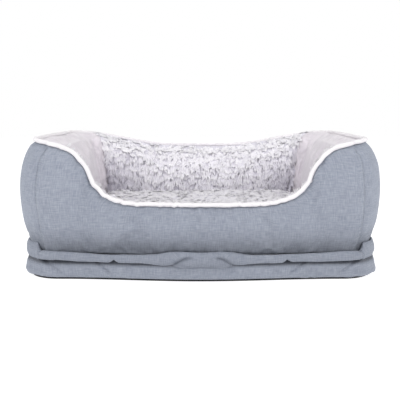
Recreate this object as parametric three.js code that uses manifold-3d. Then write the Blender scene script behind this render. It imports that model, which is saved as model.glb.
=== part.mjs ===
// Pet cushion bed: a quilted base, a bolster wall with a dipped front entry, piped seams,
// a folded flap over the base zip and a loose plush seat cushion.
// Millimetres, +Z up, +Y to the back. The origin is at the centre of the underside.
import * as THREE from 'three';
import { mergeVertices } from 'three/addons/utils/BufferGeometryUtils.js';
import Module from 'manifold-3d';

const wasm = await Module();
wasm.setup();

// ---- Driving dimensions ----
const BASE = { halfX: 350, front: 254, back: 275, radius: 76, bow: 20 }; // outer plan of the base
const WELL = { halfX: 250, front: 172, back: 187, radius: 32, bow: 0 }; // inner plan of the wall
const WALL_THICKNESS = 100; // from the outer plan to the inner plan, as an inset
const SKIN = 3; // stuffed covers, as sewn with their seam wadding
const GAP = 0.4; // clearance between touching pieces

const UNDERSIDE_TOP = 3;
const BASE_TOP = 50;
const WALL_FOOT = 52.4;

const SIDE_TOP = 266; // height of the piped seam on the side walls
const BACK_SAG = 38; // how far the middle of the back wall hangs below its corners
const ENTRY_FLOOR = 142; // height of the piped seam across the front entry
const ENTRY_HALF = 137; // half the width of the entry's level floor
const ENTRY_SHOULDER = { x: 236, z: 238 }; // where the entry's steep flank rolls over
const CORNER_X = 322;

const PANEL_SEAM = 1.26; // lap position of the upright seam beside each front corner
const SEAM_GAP = 0.008; // lap units left open between neighbouring wall sections

const PIPING_RADIUS = 4.5;
const PIPING_SIDES = 8;
const CUSHION_TOP = 116;
const CUSHION_CLEARANCE = 5;

const ZIP = { z: 25, halfLength: 250, tapeHalf: 9, tapeThick: 0.8, coilHalf: 2, coilThick: 2 };
const SLIDER = { length: 14, halfWidth: 4.6, plate: 1.3, wall: 1.6, restX: 238 };
const ARCH = { halfSpan: 5.4, halfWidth: 1.2, bar: 1.2, height: 4 };
const PULL = {
  reach: 30, halfWidth: 3.6, thick: 1.2, barHalf: 0.7, eyeEnd: 8.5, eyeHalf: 2.1, axisHeight: 1.6,
};

// ---- Finishes ----
const cloth = (color, roughness = 0.95) =>
  new THREE.MeshStandardMaterial({ color, roughness, metalness: 0 });
const outerCloth = () => cloth(0x8f9bab);
const velour = () => cloth(0xd9d3d9);
const plush = () => cloth(0xe2dfe8);
const pipingCloth = () => cloth(0xf6f3f4, 0.85);
const wadding = () => cloth(0xf2f2ef);
const gripCloth = () => cloth(0x1c1c1f, 0.8);
const nylon = () => cloth(0x737e8c, 0.5);
const zinc = () => new THREE.MeshStandardMaterial({ color: 0x9aa0a6, roughness: 0.35, metalness: 1 });

const bed = new THREE.Group();

function addPiece(name, geometry, material, parent = bed) {
  const mesh = new THREE.Mesh(geometry, material);
  mesh.name = name;
  parent.add(mesh);
  return mesh;
}

// ---- Plan outlines ----
// A lap position runs 0 to 8 round a rounded rectangle: even spans are the straight sides
// (front, right, back, left) and odd spans the corners between them.
function planPoint(plan, lap) {
  const wrapped = ((lap % 8) + 8) % 8;
  const span = Math.floor(wrapped);
  const t = wrapped - span;
  const { halfX, front, back, radius, bow } = plan;
  const sx = halfX - radius;
  const corner = (cx, cy, start) => {
    const a = start + t * Math.PI / 2;
    return new THREE.Vector2(cx + radius * Math.cos(a), cy + radius * Math.sin(a));
  };
  const lerp = THREE.MathUtils.lerp;
  switch (span) {
    case 0: {
      const x = lerp(-sx, sx, t);
      return new THREE.Vector2(x, -front - bow * Math.cos((x / sx) * Math.PI / 2) ** 2);
    }
    case 1: return corner(sx, -front + radius, -Math.PI / 2);
    case 2: return new THREE.Vector2(halfX, lerp(-front + radius, back - radius, t));
    case 3: return corner(sx, back - radius, 0);
    case 4: return new THREE.Vector2(lerp(sx, -sx, t), back);
    case 5: return corner(-sx, back - radius, Math.PI / 2);
    case 6: return new THREE.Vector2(-halfX, lerp(back - radius, -front + radius, t));
    default: return corner(-sx, -front + radius, Math.PI);
  }
}

// A point a given inset in from the base's outline, on the way to the well's outline.
function insetPoint(lap, inset) {
  const outer = planPoint(BASE, lap);
  const inner = planPoint(WELL, lap);
  return outer.lerp(inner, inset / WALL_THICKNESS);
}

function laps(from, to, steps) {
  return Array.from({ length: steps + 1 }, (_, i) => from + (to - from) * i / steps);
}

// Lap positions through several spans, with the end of each span shared by the next.
function route(stops, steps) {
  const out = [stops[0]];
  steps.forEach((count, i) => out.push(...laps(stops[i], stops[i + 1], count).slice(1)));
  return out;
}

// ---- Heights of the wall's piped seam ----
const smooth = (a, b, v) => THREE.MathUtils.smoothstep(v, a, b);

// The entry's edge: level floor, a flank that steepens, a shoulder, then a gentle rise.
const entryEdge = new THREE.SplineCurve([
  [0, ENTRY_FLOOR], [ENTRY_HALF * 0.7, ENTRY_FLOOR], [ENTRY_HALF, ENTRY_FLOOR + 2],
  [ENTRY_HALF + 42, ENTRY_FLOOR + 15], [ENTRY_HALF + 70, ENTRY_FLOOR + 42],
  [ENTRY_SHOULDER.x - 12, ENTRY_SHOULDER.z - 18], [ENTRY_SHOULDER.x + 20, ENTRY_SHOULDER.z + 11],
  [CORNER_X, SIDE_TOP],
].map(([x, z]) => new THREE.Vector2(x, z))).getPoints(80);

function entryHeight(x) {
  const i = entryEdge.findIndex((p) => p.x > x);
  if (i < 0) return SIDE_TOP;
  if (i === 0) return ENTRY_FLOOR;
  const [a, b] = [entryEdge[i - 1], entryEdge[i]];
  return THREE.MathUtils.lerp(a.y, b.y, (x - a.x) / (b.x - a.x));
}

function wallHeight(p) {
  const front = entryHeight(Math.abs(p.x));
  const back = SIDE_TOP - BACK_SAG * (1 - smooth(60, 340, Math.abs(p.x)));
  const towardsSide = THREE.MathUtils.lerp(front, SIDE_TOP, smooth(-182, -107, p.y));
  return THREE.MathUtils.lerp(towardsSide, back, smooth(113, 183, p.y));
}

// ---- Solids from sections ----
function closedSolid(points, triangles) {
  let volume = 0;
  for (let i = 0; i < triangles.length; i += 3) {
    const [a, b, c] = [0, 1, 2].map((k) => points[triangles[i + k]]);
    volume += a.dot(new THREE.Vector3().crossVectors(b, c));
  }
  if (volume < 0) triangles.reverse();
  const geometry = new THREE.BufferGeometry().setFromPoints(points);
  geometry.setIndex(triangles);
  geometry.computeVertexNormals();
  return geometry;
}

// Joins a run of equal closed sections. A skin's section runs forward for its first points and
// then back along its inner side, where the quads are split the other way: nested skins and
// stuffing then crease along the same lines. A run that does not close on itself gets end caps.
function loft(sections, { closesOnItself = false, forward = Infinity } = {}) {
  const size = sections[0].length;
  const points = sections.flat();
  const triangles = [];
  const last = closesOnItself ? sections.length : sections.length - 1;
  for (let i = 0; i < last; i += 1) {
    const next = (i + 1) % sections.length;
    for (let j = 0; j < size; j += 1) {
      const k = (j + 1) % size;
      const [a, b, c, d] = [i * size + j, i * size + k, next * size + k, next * size + j];
      triangles.push(...(j < forward ? [a, b, c, a, c, d] : [b, c, d, b, d, a]));
    }
  }
  return { points, triangles, size, count: sections.length };
}

// flats is each end section laid flat, for triangulating its cap.
function cappedLoft(sections, flats, forward) {
  const shape = loft(sections, { forward });
  const startCap = THREE.ShapeUtils.triangulateShape(flats[0], []);
  const endCap = THREE.ShapeUtils.triangulateShape(flats[1], []);
  const clockwise = THREE.ShapeUtils.isClockWise(flats[0]);
  const offset = (shape.count - 1) * shape.size;
  startCap.forEach(([a, b, c]) => shape.triangles.push(...(clockwise ? [a, b, c] : [c, b, a])));
  endCap.forEach(([a, b, c]) => {
    const face = clockwise ? [c, b, a] : [a, b, c];
    shape.triangles.push(...face.map((v) => v + offset));
  });
  return closedSolid(shape.points, shape.triangles);
}

// ---- Wall sections: points [inset, height] from the outer foot, over the top, to the inner foot ----
// A wall swells outwards between its foot and its piped seam, and leans back over the well.
const OUTER_FACE = [[7, 0], [-4, 0.17], [-11, 0.45], [-8, 0.68], [0, 0.84], [9, 0.93], [20, 1]];
const OVER_THE_TOP = [[32, 5], [46, 6], [60, 2]]; // insets, and lifts above the seam
const INNER_FACE = [[72, 0.97], [84, 0.8], [95, 0.6], [99, 0.42], [WALL_THICKNESS, 0.25]];

// rollTop is the height up to which the wall stands back to leave room for the flap's roll.
function wallCurve(lap, rollTop) {
  const top = (inset) => wallHeight(insetPoint(lap, inset));
  const between = (low, inset, share) => new THREE.Vector2(inset, low + (top(inset) - low) * share);
  const foot = (inset) => new THREE.Vector2(inset, WALL_FOOT);
  return [
    ...(rollTop > WALL_FOOT ? [foot(11)] : []),
    ...OUTER_FACE.map(([inset, share]) => between(rollTop, inset, share)),
    ...OVER_THE_TOP.map(([inset, lift]) => new THREE.Vector2(inset, top(inset) + lift)),
    ...INNER_FACE.map(([inset, share]) => between(WALL_FOOT, inset, share)),
    foot(WALL_THICKNESS),
  ];
}

// The piped seam's place in the curve, counted back from the inner foot.
const SEAM_FROM_END = OVER_THE_TOP.length + INNER_FACE.length + 2;

// Moves each point of a curve inwards, towards the stuffing, by a distance.
function offsetCurve(curve, distance, closed = false) {
  return curve.map((p, i) => {
    const wrap = (k) => (k + curve.length) % curve.length;
    const before = curve[closed ? wrap(i - 1) : Math.max(i - 1, 0)];
    const after = curve[closed ? wrap(i + 1) : Math.min(i + 1, curve.length - 1)];
    const along = after.clone().sub(before).normalize();
    return new THREE.Vector2(p.x + along.y * distance, p.y - along.x * distance);
  });
}

function stand(lap, section) {
  return section.map((p) => {
    const at = insetPoint(lap, p.x);
    return new THREE.Vector3(at.x, at.y, p.y);
  });
}

function wallSolid(stops, sectionAt, isSkin = false) {
  const flats = stops.map(sectionAt);
  const forward = isSkin ? flats[0].length / 2 : undefined;
  return cappedLoft(stops.map((lap, i) => stand(lap, flats[i])), [flats[0], flats.at(-1)], forward);
}

// The wall's curve moved in under its skin, with both feet kept on the floor panel.
function insideCurve(curve, distance, foot) {
  const inner = offsetCurve(curve, distance);
  inner[0].y = foot;
  inner.at(-1).y = foot;
  return inner;
}

// The sewn skin from the outer foot up to the piped seam.
function outerSkin(lap, rollTop) {
  const curve = wallCurve(lap, rollTop);
  const end = curve.length - SEAM_FROM_END + 1;
  return [...curve.slice(0, end), ...insideCurve(curve, SKIN, WALL_FOOT).slice(0, end).reverse()];
}

// The sewn skin from just past the piped seam, over the top and down to the inner foot.
function liningSkin(lap, rollTop) {
  const curve = wallCurve(lap, rollTop);
  const start = curve.length - SEAM_FROM_END;
  const fromSeam = (line) => [line[start].clone().lerp(line[start + 1], 0.04),
    ...line.slice(start + 1)];
  return [...fromSeam(curve), ...fromSeam(insideCurve(curve, SKIN, WALL_FOOT)).reverse()];
}

function stuffing(lap, rollTop) {
  return insideCurve(wallCurve(lap, rollTop), SKIN + 3 * GAP, WALL_FOOT + GAP);
}

// ---- Piping: a round cord cover lying on the seam between outer cloth and lining ----
function seamAt(lap, rollTop) {
  const curve = wallCurve(lap, rollTop);
  const i = curve.length - SEAM_FROM_END;
  const along = curve[i + 1].clone().sub(curve[i - 1]).normalize();
  const [at, out] = stand(lap, [curve[i], new THREE.Vector2(curve[i].x - along.y, curve[i].y + along.x)]);
  return { at, away: out.sub(at) };
}

function pipingAlong(stops, rollTop) {
  const seam = stops.map((lap) => seamAt(lap, rollTop));
  const round = laps(0, Math.PI * 2, PIPING_SIDES).slice(1)
    .map((a) => new THREE.Vector2(Math.cos(a), Math.sin(a)).multiplyScalar(PIPING_RADIUS));
  const sections = seam.map(({ at, away }, i) => {
    const before = seam[Math.max(i - 1, 0)].at;
    const after = seam[Math.min(i + 1, seam.length - 1)].at;
    const run = after.clone().sub(before).normalize();
    const out = away.clone().addScaledVector(run, -away.dot(run)).normalize();
    const across = new THREE.Vector3().crossVectors(run, out);
    const centre = at.clone().addScaledVector(out, PIPING_RADIUS + 5 * GAP);
    return round.map((p) => centre.clone().addScaledVector(out, p.x).addScaledVector(across, p.y));
  });
  return cappedLoft(sections, [round, round]);
}

// ---- Level slabs: outlines stacked from the bottom up, each given as [inset, height] ----
const SLAB_ROUTE = route([0, 1, 2, 3, 4, 5, 6, 7, 8], [10, 4, 1, 4, 1, 4, 1, 4]).slice(0, -1);

function slabRing(plan, inset, z) {
  const shrunk = {
    ...plan, halfX: plan.halfX - inset, front: plan.front - inset, back: plan.back - inset,
    radius: Math.max(plan.radius - inset, 6),
  };
  return SLAB_ROUTE.map((lap) => {
    const p = planPoint(shrunk, lap);
    return new THREE.Vector3(p.x, p.y, z);
  });
}

function slab(plan, levels) {
  const rings = levels.map(([inset, z]) => slabRing(plan, inset, z));
  const shape = loft(rings);
  const size = shape.size;
  [[0, levels[0][1]], [rings.length - 1, levels.at(-1)[1]]].forEach(([ring, z], end) => {
    const centre = shape.points.push(new THREE.Vector3(0, 0, z)) - 1;
    for (let j = 0; j < size; j += 1) {
      const [a, b] = [ring * size + j, ring * size + ((j + 1) % size)];
      shape.triangles.push(...(end ? [centre, a, b] : [centre, b, a]));
    }
  });
  return closedSolid(shape.points, shape.triangles);
}

// A cover pulled over a slab, open underneath: outer levels up, then inner levels back down.
function pulledOver(plan, outer, inner) {
  const rings = [...outer, ...[...inner].reverse()].map(([inset, z]) => slabRing(plan, inset, z));
  const size = rings[0].length;
  const points = rings.flat();
  const triangles = [];
  const quad = (i, k) => {
    for (let j = 0; j < size; j += 1) {
      const n = (j + 1) % size;
      const [a, b, c, d] = [i * size + j, i * size + n, k * size + n, k * size + j];
      triangles.push(a, b, c, a, c, d);
    }
  };
  const fan = (ring, z, up) => {
    const centre = points.push(new THREE.Vector3(0, 0, z)) - 1;
    for (let j = 0; j < size; j += 1) {
      const [a, b] = [ring * size + j, ring * size + ((j + 1) % size)];
      triangles.push(...(up ? [centre, a, b] : [centre, b, a]));
    }
  };
  for (let i = 0; i + 1 < rings.length; i += 1) {
    if (i !== outer.length - 1) quad(i, i + 1);
  }
  quad(rings.length - 1, 0);
  fan(outer.length - 1, outer.at(-1)[1], true);
  fan(outer.length, inner.at(-1)[1], false);
  return closedSolid(points, triangles);
}

// ---- The base ----
const BAND_CURVE = [[13, UNDERSIDE_TOP + GAP], [4, 6], [0, 14], [2, 30], [9, 44], [13, BASE_TOP]];

function buildBase() {
  const inner = BAND_CURVE.map(([inset, z]) => [inset + SKIN, z]);
  addPiece('underside_panel', slab(BASE, [[14, 0], [12, 0.8], [12, UNDERSIDE_TOP]]), gripCloth());
  const ring = (level) => slabRing(BASE, ...level);
  const columns = [...BAND_CURVE, ...inner.reverse()].map(ring);
  const sections = SLAB_ROUTE.map((_, i) => columns.map((column) => column[i]));
  const band = loft(sections, { closesOnItself: true, forward: BAND_CURVE.length });
  addPiece('base_band', closedSolid(band.points, band.triangles), outerCloth());
  const core = BAND_CURVE.map(([inset, z]) => [inset + SKIN + GAP, z]);
  core[0][1] += GAP;
  addPiece('base_pad', slab(BASE, core), wadding());
  addPiece('floor_panel', slab(BASE, [[14, BASE_TOP + GAP], [14, WALL_FOOT - GAP]]), outerCloth());
}

// ---- The wall: four stuffed chambers, each with its outer panel, lining, stuffing and piping ----
const FRONT_ROUTE = route([1 - PANEL_SEAM, 0, 1, PANEL_SEAM], [1, 26, 1]);
const SIDE_ROUTE = route([PANEL_SEAM, 2, 3, 5 - PANEL_SEAM], [4, 8, 4]);
const BACK_ROUTE = route([5 - PANEL_SEAM, 4, 5, 4 + PANEL_SEAM], [1, 14, 1]);
const SIDE_ROLL_TOP = 74;

function inFromEnds(stops) {
  const out = [...stops];
  out[0] += SEAM_GAP;
  out[out.length - 1] -= SEAM_GAP;
  return out;
}

function buildWalls() {
  const walls = [
    { side: 'front', stops: FRONT_ROUTE, rollTop: WALL_FOOT, lining: velour },
    { side: 'right', stops: SIDE_ROUTE, rollTop: SIDE_ROLL_TOP, lining: velour },
    { side: 'back', stops: BACK_ROUTE, rollTop: WALL_FOOT, lining: plush },
    { side: 'left', stops: SIDE_ROUTE.map((lap) => lap + 4), rollTop: SIDE_ROLL_TOP, lining: velour },
  ];
  walls.forEach(({ side, stops, rollTop, lining }) => {
    const clear = inFromEnds(stops);
    const solid = (section, isSkin) => wallSolid(clear, (lap) => section(lap, rollTop), isSkin);
    addPiece(`${side}_panel`, solid(outerSkin, true), outerCloth());
    addPiece(`${side}_lining`, solid(liningSkin, true), lining());
    addPiece(`${side}_stuffing`, solid(stuffing, false), wadding());
    addPiece(`${side}_piping`, pipingAlong(clear, rollTop), pipingCloth());
  });
}

// ---- The folded flap round the foot of the wall, over the zip ----
const SLIM_FLAP = [[-5, 36], [-7, 41], [-4, 48], [2, 50], [7, 47.5], [4, 41], [0, 35]];
const FULL_FLAP = [[-1, 40], [-2, 50], [-1, 62], [3, 69.5], [6, 69.5], [7, 56], [6.5, 48], [3, 39]];

function buildFlap() {
  const flap = (name, stops, outline) => {
    const section = outline.map(([inset, z]) => new THREE.Vector2(inset, z));
    addPiece(name, wallSolid(inFromEnds(stops), () => section), outerCloth());
  };
  flap('front_flap', FRONT_ROUTE, SLIM_FLAP);
  flap('right_flap', SIDE_ROUTE, FULL_FLAP);
  flap('back_flap', BACK_ROUTE, SLIM_FLAP);
  flap('left_flap', SIDE_ROUTE.map((lap) => lap + 4), FULL_FLAP);
}

// ---- The zip across the back of the base band ----
function block(x, y, z) {
  const box = new THREE.BoxGeometry(x[1] - x[0], y[1] - y[0], z[1] - z[0]);
  return box.translate((x[0] + x[1]) / 2, (y[0] + y[1]) / 2, (z[0] + z[1]) / 2);
}

function joined(...geometries) {
  const solids = geometries.map((geometry) => {
    const bare = new THREE.BufferGeometry();
    bare.setAttribute('position', geometry.getAttribute('position'));
    if (geometry.index) bare.setIndex(geometry.index);
    const welded = mergeVertices(bare);
    return new wasm.Manifold(new wasm.Mesh({
      numProp: 3,
      vertProperties: Float32Array.from(welded.attributes.position.array),
      triVerts: Uint32Array.from(welded.index.array),
    }));
  });
  const mesh = solids.reduce((sum, solid) => sum.add(solid)).getMesh();
  const geometry = new THREE.BufferGeometry();
  geometry.setAttribute('position', new THREE.BufferAttribute(mesh.vertProperties, 3));
  geometry.setIndex(new THREE.BufferAttribute(mesh.triVerts, 1));
  geometry.computeVertexNormals();
  return geometry;
}

const TAPE_FACE = BASE.back + GAP; // the band's fullest line, which the tape lies against
const TAPE_OUT = TAPE_FACE + ZIP.tapeThick;
const COIL_FACE = TAPE_OUT + GAP;
const COIL_OUT = COIL_FACE + ZIP.coilThick;
const SLIDER_ROOF = COIL_OUT + GAP;
const SLIDER_TOP = SLIDER_ROOF + SLIDER.plate;

function buildZip() {
  const { z, halfLength, coilHalf, tapeHalf } = ZIP;
  const straight = BASE.halfX - BASE.radius;
  const coilY = [COIL_FACE, COIL_OUT];
  addPiece('zip_tape',
    block([-straight, straight], [TAPE_FACE, TAPE_OUT], [z - tapeHalf, z + tapeHalf]),
    cloth(0x7d8998));
  addPiece('zip_coil',
    block([-halfLength, halfLength], coilY, [z - coilHalf, z + coilHalf]), nylon());
  const stop = [halfLength + GAP, halfLength + 4];
  const stopZ = [z - coilHalf - 1, z + coilHalf + 1];
  addPiece('zip_stop_right', block(stop, coilY, stopZ), zinc());
  addPiece('zip_stop_left', block([-stop[1], -stop[0]], coilY, stopZ), zinc());
  addPiece('zip_slider', sliderBody(), zinc());
  addPiece('zip_pull', pullTab(), zinc());
}

// A channel that straddles the coil, with the arch that holds the pull on top.
function sliderBody() {
  const { length, halfWidth, plate, wall, restX } = SLIDER;
  const x = [restX - length / 2, restX + length / 2];
  const roof = block(x, [SLIDER_ROOF, SLIDER_TOP], [ZIP.z - halfWidth, ZIP.z + halfWidth]);
  const flank = (side) => {
    const z = [ZIP.z + side * halfWidth, ZIP.z + side * (halfWidth - wall)];
    return block(x, [COIL_FACE, SLIDER_TOP], z.sort((a, b) => a - b));
  };
  const archZ = [ZIP.z - ARCH.halfWidth, ZIP.z + ARCH.halfWidth];
  const archTop = SLIDER_TOP + ARCH.height;
  const post = (side) => {
    const ends = [restX + side * ARCH.halfSpan, restX + side * (ARCH.halfSpan - ARCH.bar)];
    return block(ends.sort((a, b) => a - b), [SLIDER_TOP - plate / 2, archTop], archZ);
  };
  const bridge = block([restX - ARCH.halfSpan, restX + ARCH.halfSpan],
    [archTop - ARCH.bar, archTop], archZ);
  return joined(roof, flank(-1), flank(1), post(-1), post(1), bridge);
}

// A flat tab with a long eye: its end bar turns under the slider's arch.
function pullTab() {
  const { reach, halfWidth, thick, barHalf, eyeEnd, eyeHalf } = PULL;
  const plate = new THREE.Shape();
  plate.moveTo(barHalf, -halfWidth).lineTo(barHalf, halfWidth).lineTo(-reach + halfWidth, halfWidth);
  plate.absarc(-reach + halfWidth, 0, halfWidth, Math.PI / 2, Math.PI * 1.5);
  const eye = new THREE.Path();
  eye.moveTo(-barHalf, -eyeHalf).lineTo(-eyeEnd, -eyeHalf).lineTo(-eyeEnd, eyeHalf)
    .lineTo(-barHalf, eyeHalf).closePath();
  plate.holes.push(eye);
  const tab = new THREE.ExtrudeGeometry(plate, { depth: thick, bevelEnabled: false, curveSegments: 5 });
  // The plate is drawn flat in X and Y, then stood up against the back of the bed.
  tab.translate(0, 0, -thick / 2).rotateX(Math.PI / 2);
  return tab.translate(SLIDER.restX, SLIDER_TOP + PULL.axisHeight, ZIP.z);
}

// ---- The loose seat cushion ----
function buildCushion() {
  const c = CUSHION_CLEARANCE;
  const foot = WALL_FOOT + GAP;
  const outer = [[c + 4, foot], [c, foot + 14], [c, CUSHION_TOP - 22], [c + 7, CUSHION_TOP - 7],
    [c + 24, CUSHION_TOP]];
  const inner = [[c + 8, foot], [c + 4.5, foot + 14], [c + 4.5, CUSHION_TOP - 24],
    [c + 11, CUSHION_TOP - 12], [c + 28, CUSHION_TOP - 5]];
  addPiece('cushion_cover', pulledOver(WELL, outer, inner), plush());
  addPiece('cushion_backing', slab(WELL, [[c + 9, foot], [c + 9, foot + 1.6]]), outerCloth());
  addPiece('cushion_stuffing', slab(WELL, [[c + 9, foot + 2], [c + 5.5, foot + 14],
    [c + 5.5, CUSHION_TOP - 24], [c + 12, CUSHION_TOP - 13], [c + 29, CUSHION_TOP - 5.6]]),
  wadding());
}

buildBase();
buildWalls();
buildFlap();
buildZip();
buildCushion();

export default bed;
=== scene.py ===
"""Pet cushion bed: cloth, pile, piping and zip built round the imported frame.

Lengths are in millimetres in the classes below and turn to metres where a mesh is made.
"""

import logging
import math
from dataclasses import dataclass, field
from enum import Enum

import bmesh
import bpy
import numpy as np
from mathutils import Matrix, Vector


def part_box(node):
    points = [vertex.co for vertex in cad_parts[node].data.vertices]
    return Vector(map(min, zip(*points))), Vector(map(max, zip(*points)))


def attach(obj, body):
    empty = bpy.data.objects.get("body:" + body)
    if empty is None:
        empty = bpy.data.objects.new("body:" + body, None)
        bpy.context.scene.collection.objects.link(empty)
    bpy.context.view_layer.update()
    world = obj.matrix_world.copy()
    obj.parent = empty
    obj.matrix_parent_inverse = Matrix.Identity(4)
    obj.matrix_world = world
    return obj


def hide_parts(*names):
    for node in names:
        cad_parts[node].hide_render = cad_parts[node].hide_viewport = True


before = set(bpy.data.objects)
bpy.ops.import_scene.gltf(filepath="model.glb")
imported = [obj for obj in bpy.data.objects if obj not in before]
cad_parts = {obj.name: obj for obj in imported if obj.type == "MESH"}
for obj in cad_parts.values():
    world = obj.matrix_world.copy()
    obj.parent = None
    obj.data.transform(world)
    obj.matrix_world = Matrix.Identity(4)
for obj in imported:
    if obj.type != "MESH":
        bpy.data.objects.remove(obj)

MM = 0.001
LOG = logging.getLogger("cushion_bed")
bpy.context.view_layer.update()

Points = np.ndarray
Faces = list[tuple[int, ...]]
CLOTH_THICKNESS = 2.2


# ---------------------------------------------------------------------------------------------
# Small tools
# ---------------------------------------------------------------------------------------------
def span(node: str) -> tuple[Points, Points]:
    """Lowest and highest corner of a CAD node in millimetres.

    Args:
        node: The CAD node's name.

    Returns:
        Two arrays of three numbers.
    """
    low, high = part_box(node)
    return np.array(low) / MM, np.array(high) / MM


def smoothstep(low: float, high: float, value: Points) -> Points:
    """A smooth 0 to 1 ramp between two values."""
    t = np.clip((np.asarray(value, float) - low) / (high - low), 0, 1)
    return t * t * (3 - 2 * t)


def bump_at(value: Points, centre: float, width: float) -> Points:
    """A smooth bell of height 1 round a centre."""
    return np.exp(-(((np.asarray(value, float) - centre) / width) ** 2))


def spline(points: list[tuple[float, ...]], count: int) -> Points:
    """A Catmull-Rom curve through a few points.

    Args:
        points: The points that the curve passes through.
        count: How many points to return, spread evenly over the parameter.

    Returns:
        The points, as rows.
    """
    p = np.array(points, float)
    p = np.vstack([2 * p[0] - p[1], p, 2 * p[-1] - p[-2]])
    at = np.linspace(0, len(points) - 1, count)
    i = np.clip(at.astype(int), 0, len(points) - 2)
    t = (at - i)[:, None]
    a, b, c, d = p[i], p[i + 1], p[i + 2], p[i + 3]
    return 0.5 * (2 * b + (c - a) * t + (2 * a - 5 * b + 4 * c - d) * t**2 + (3 * b - a - 3 * c + d) * t**3)


def respaced(points: Points, count: int) -> Points:
    """The same polyline with its points spread evenly along its length.

    Args:
        points: The polyline, as rows.
        count: How many points to return.

    Returns:
        The points, as rows.
    """
    steps = np.linalg.norm(np.diff(points, axis=0), axis=1)
    along = np.concatenate([[0], np.cumsum(steps)])
    at = np.linspace(0, along[-1], count)
    return np.stack([np.interp(at, along, points[:, k]) for k in range(points.shape[1])], axis=1)


class Ripple:
    """Seeded smooth noise on a line or a plane, from -1 to 1."""

    CELLS = 256

    def __init__(self, seed: int) -> None:
        """Draws the lattice values for a seed."""
        self.lattice = np.random.default_rng(seed).uniform(-1, 1, (self.CELLS, self.CELLS))

    def _corner(self, i: Points, j: Points) -> Points:
        """The lattice's values at whole coordinates."""
        return self.lattice[i % self.CELLS, j % self.CELLS]

    def at(self, x: Points, y: Points | float = 0.0) -> Points:
        """The noise at lattice coordinates.

        Args:
            x: First coordinate, in units of one bump.
            y: Second coordinate.

        Returns:
            Values from -1 to 1.
        """
        x, y = np.broadcast_arrays(np.asarray(x, float), np.asarray(y, float))
        i, j = np.floor(x).astype(int), np.floor(y).astype(int)
        u, v = x - i, y - j
        u, v = u * u * (3 - 2 * u), v * v * (3 - 2 * v)
        low = self._corner(i, j) * (1 - u) + self._corner(i + 1, j) * u
        high = self._corner(i, j + 1) * (1 - u) + self._corner(i + 1, j + 1) * u
        return low * (1 - v) + high * v

    def rough(self, x: Points, y: Points | float = 0.0, octaves: int = 3) -> Points:
        """The noise summed over octaves of halving size and height."""
        y = np.asarray(y)
        return sum(self.at(x * 2**k + 17.3 * k, y * 2**k + 5.1 * k) / 2**k for k in range(octaves))


# ---------------------------------------------------------------------------------------------
# Meshes
# ---------------------------------------------------------------------------------------------
def grid_faces(rows: int, columns: int, wraps: bool = False) -> Faces:
    """Quads over a grid of points stored row by row.

    Args:
        rows: Number of rows.
        columns: Number of points in a row.
        wraps: True if the last column joins the first.

    Returns:
        The faces as point numbers.
    """
    r = np.arange(rows - 1)[:, None]
    c = np.arange(columns if wraps else columns - 1)[None, :]
    n = (c + 1) % columns
    here, above = r * columns, (r + 1) * columns
    quads = np.stack([here + c, here + n, above + n, above + c], axis=-1)
    return [tuple(q) for q in quads.reshape(-1, 4).tolist()]


def end_faces(rows: int, columns: int) -> Faces:
    """The two faces that close the first and last ring of a tube.

    Args:
        rows: Number of rings.
        columns: Number of points in a ring.

    Returns:
        The faces as point numbers.
    """
    last = (rows - 1) * columns
    return [tuple(range(columns)), tuple(range(last, last + columns))]


def make_mesh(name: str, points: Points, faces: Faces, uv: Points | None = None) -> bpy.types.Object:
    """Makes a mesh object from millimetre points, with its place in its mesh.

    Args:
        name: The piece's name.
        points: One row of three numbers for each vertex, in millimetres.
        faces: The faces as vertex numbers.
        uv: One row for each vertex, in metres along and across the cloth.

    Returns:
        The object.
    """
    mesh = bpy.data.meshes.new(name)
    mesh.from_pydata((np.asarray(points, float) * MM).tolist(), [], faces)
    if uv is not None:
        layer = mesh.uv_layers.new(name="cloth")
        loops = np.zeros(len(mesh.loops), dtype=int)
        mesh.loops.foreach_get("vertex_index", loops)
        layer.data.foreach_set("uv", (np.asarray(uv, float)[loops] * MM).ravel())
    mesh.polygons.foreach_set("use_smooth", [True] * len(mesh.polygons))
    mesh.update()
    obj = bpy.data.objects.new(name, mesh)
    bpy.context.scene.collection.objects.link(obj)
    return obj


def make_active(obj: bpy.types.Object) -> None:
    """Leaves only this object selected, and active.

    Args:
        obj: The object.
    """
    bpy.ops.object.select_all(action="DESELECT")
    obj.select_set(True)
    bpy.context.view_layer.objects.active = obj


def apply_modifier(obj: bpy.types.Object, kind: str, **settings: object) -> None:
    """Adds a modifier with its settings and applies it.

    Args:
        obj: The piece.
        kind: The modifier's type.
        settings: Its properties.
    """
    modifier = obj.modifiers.new(kind.title(), kind)
    for key, value in settings.items():
        setattr(modifier, key, value)
    make_active(obj)
    bpy.ops.object.modifier_apply(modifier=modifier.name)


def face_outwards(obj: bpy.types.Object) -> None:
    """Recalculates a closed mesh's normals to face out.

    Args:
        obj: The piece.
    """
    bm = bmesh.new()
    bm.from_mesh(obj.data)
    bmesh.ops.recalc_face_normals(bm, faces=bm.faces)
    bm.to_mesh(obj.data)
    bm.free()


def closed_tube(name: str, rings: Points, uv: Points | None = None) -> bpy.types.Object:
    """A closed mesh through rings of points, with its two ends filled.

    Args:
        name: The piece's name.
        rings: Points as [ring, place in the ring, xyz], in millimetres.
        uv: Points as [ring, place in the ring, uv], in millimetres of cloth.

    Returns:
        The object, with its faces pointing outwards.
    """
    rows, columns = rings.shape[:2]
    faces = grid_faces(rows, columns, True) + end_faces(rows, columns)
    obj = make_mesh(name, rings.reshape(-1, 3), faces, None if uv is None else uv.reshape(-1, 2))
    face_outwards(obj)
    return obj


def points_of(mesh: bpy.types.Mesh) -> Points:
    """The mesh's vertices in millimetres.

    Args:
        mesh: The mesh.

    Returns:
        One row of three numbers for each vertex.
    """
    out = np.empty(len(mesh.vertices) * 3)
    mesh.vertices.foreach_get("co", out)
    return out.reshape(-1, 3) / MM


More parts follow.
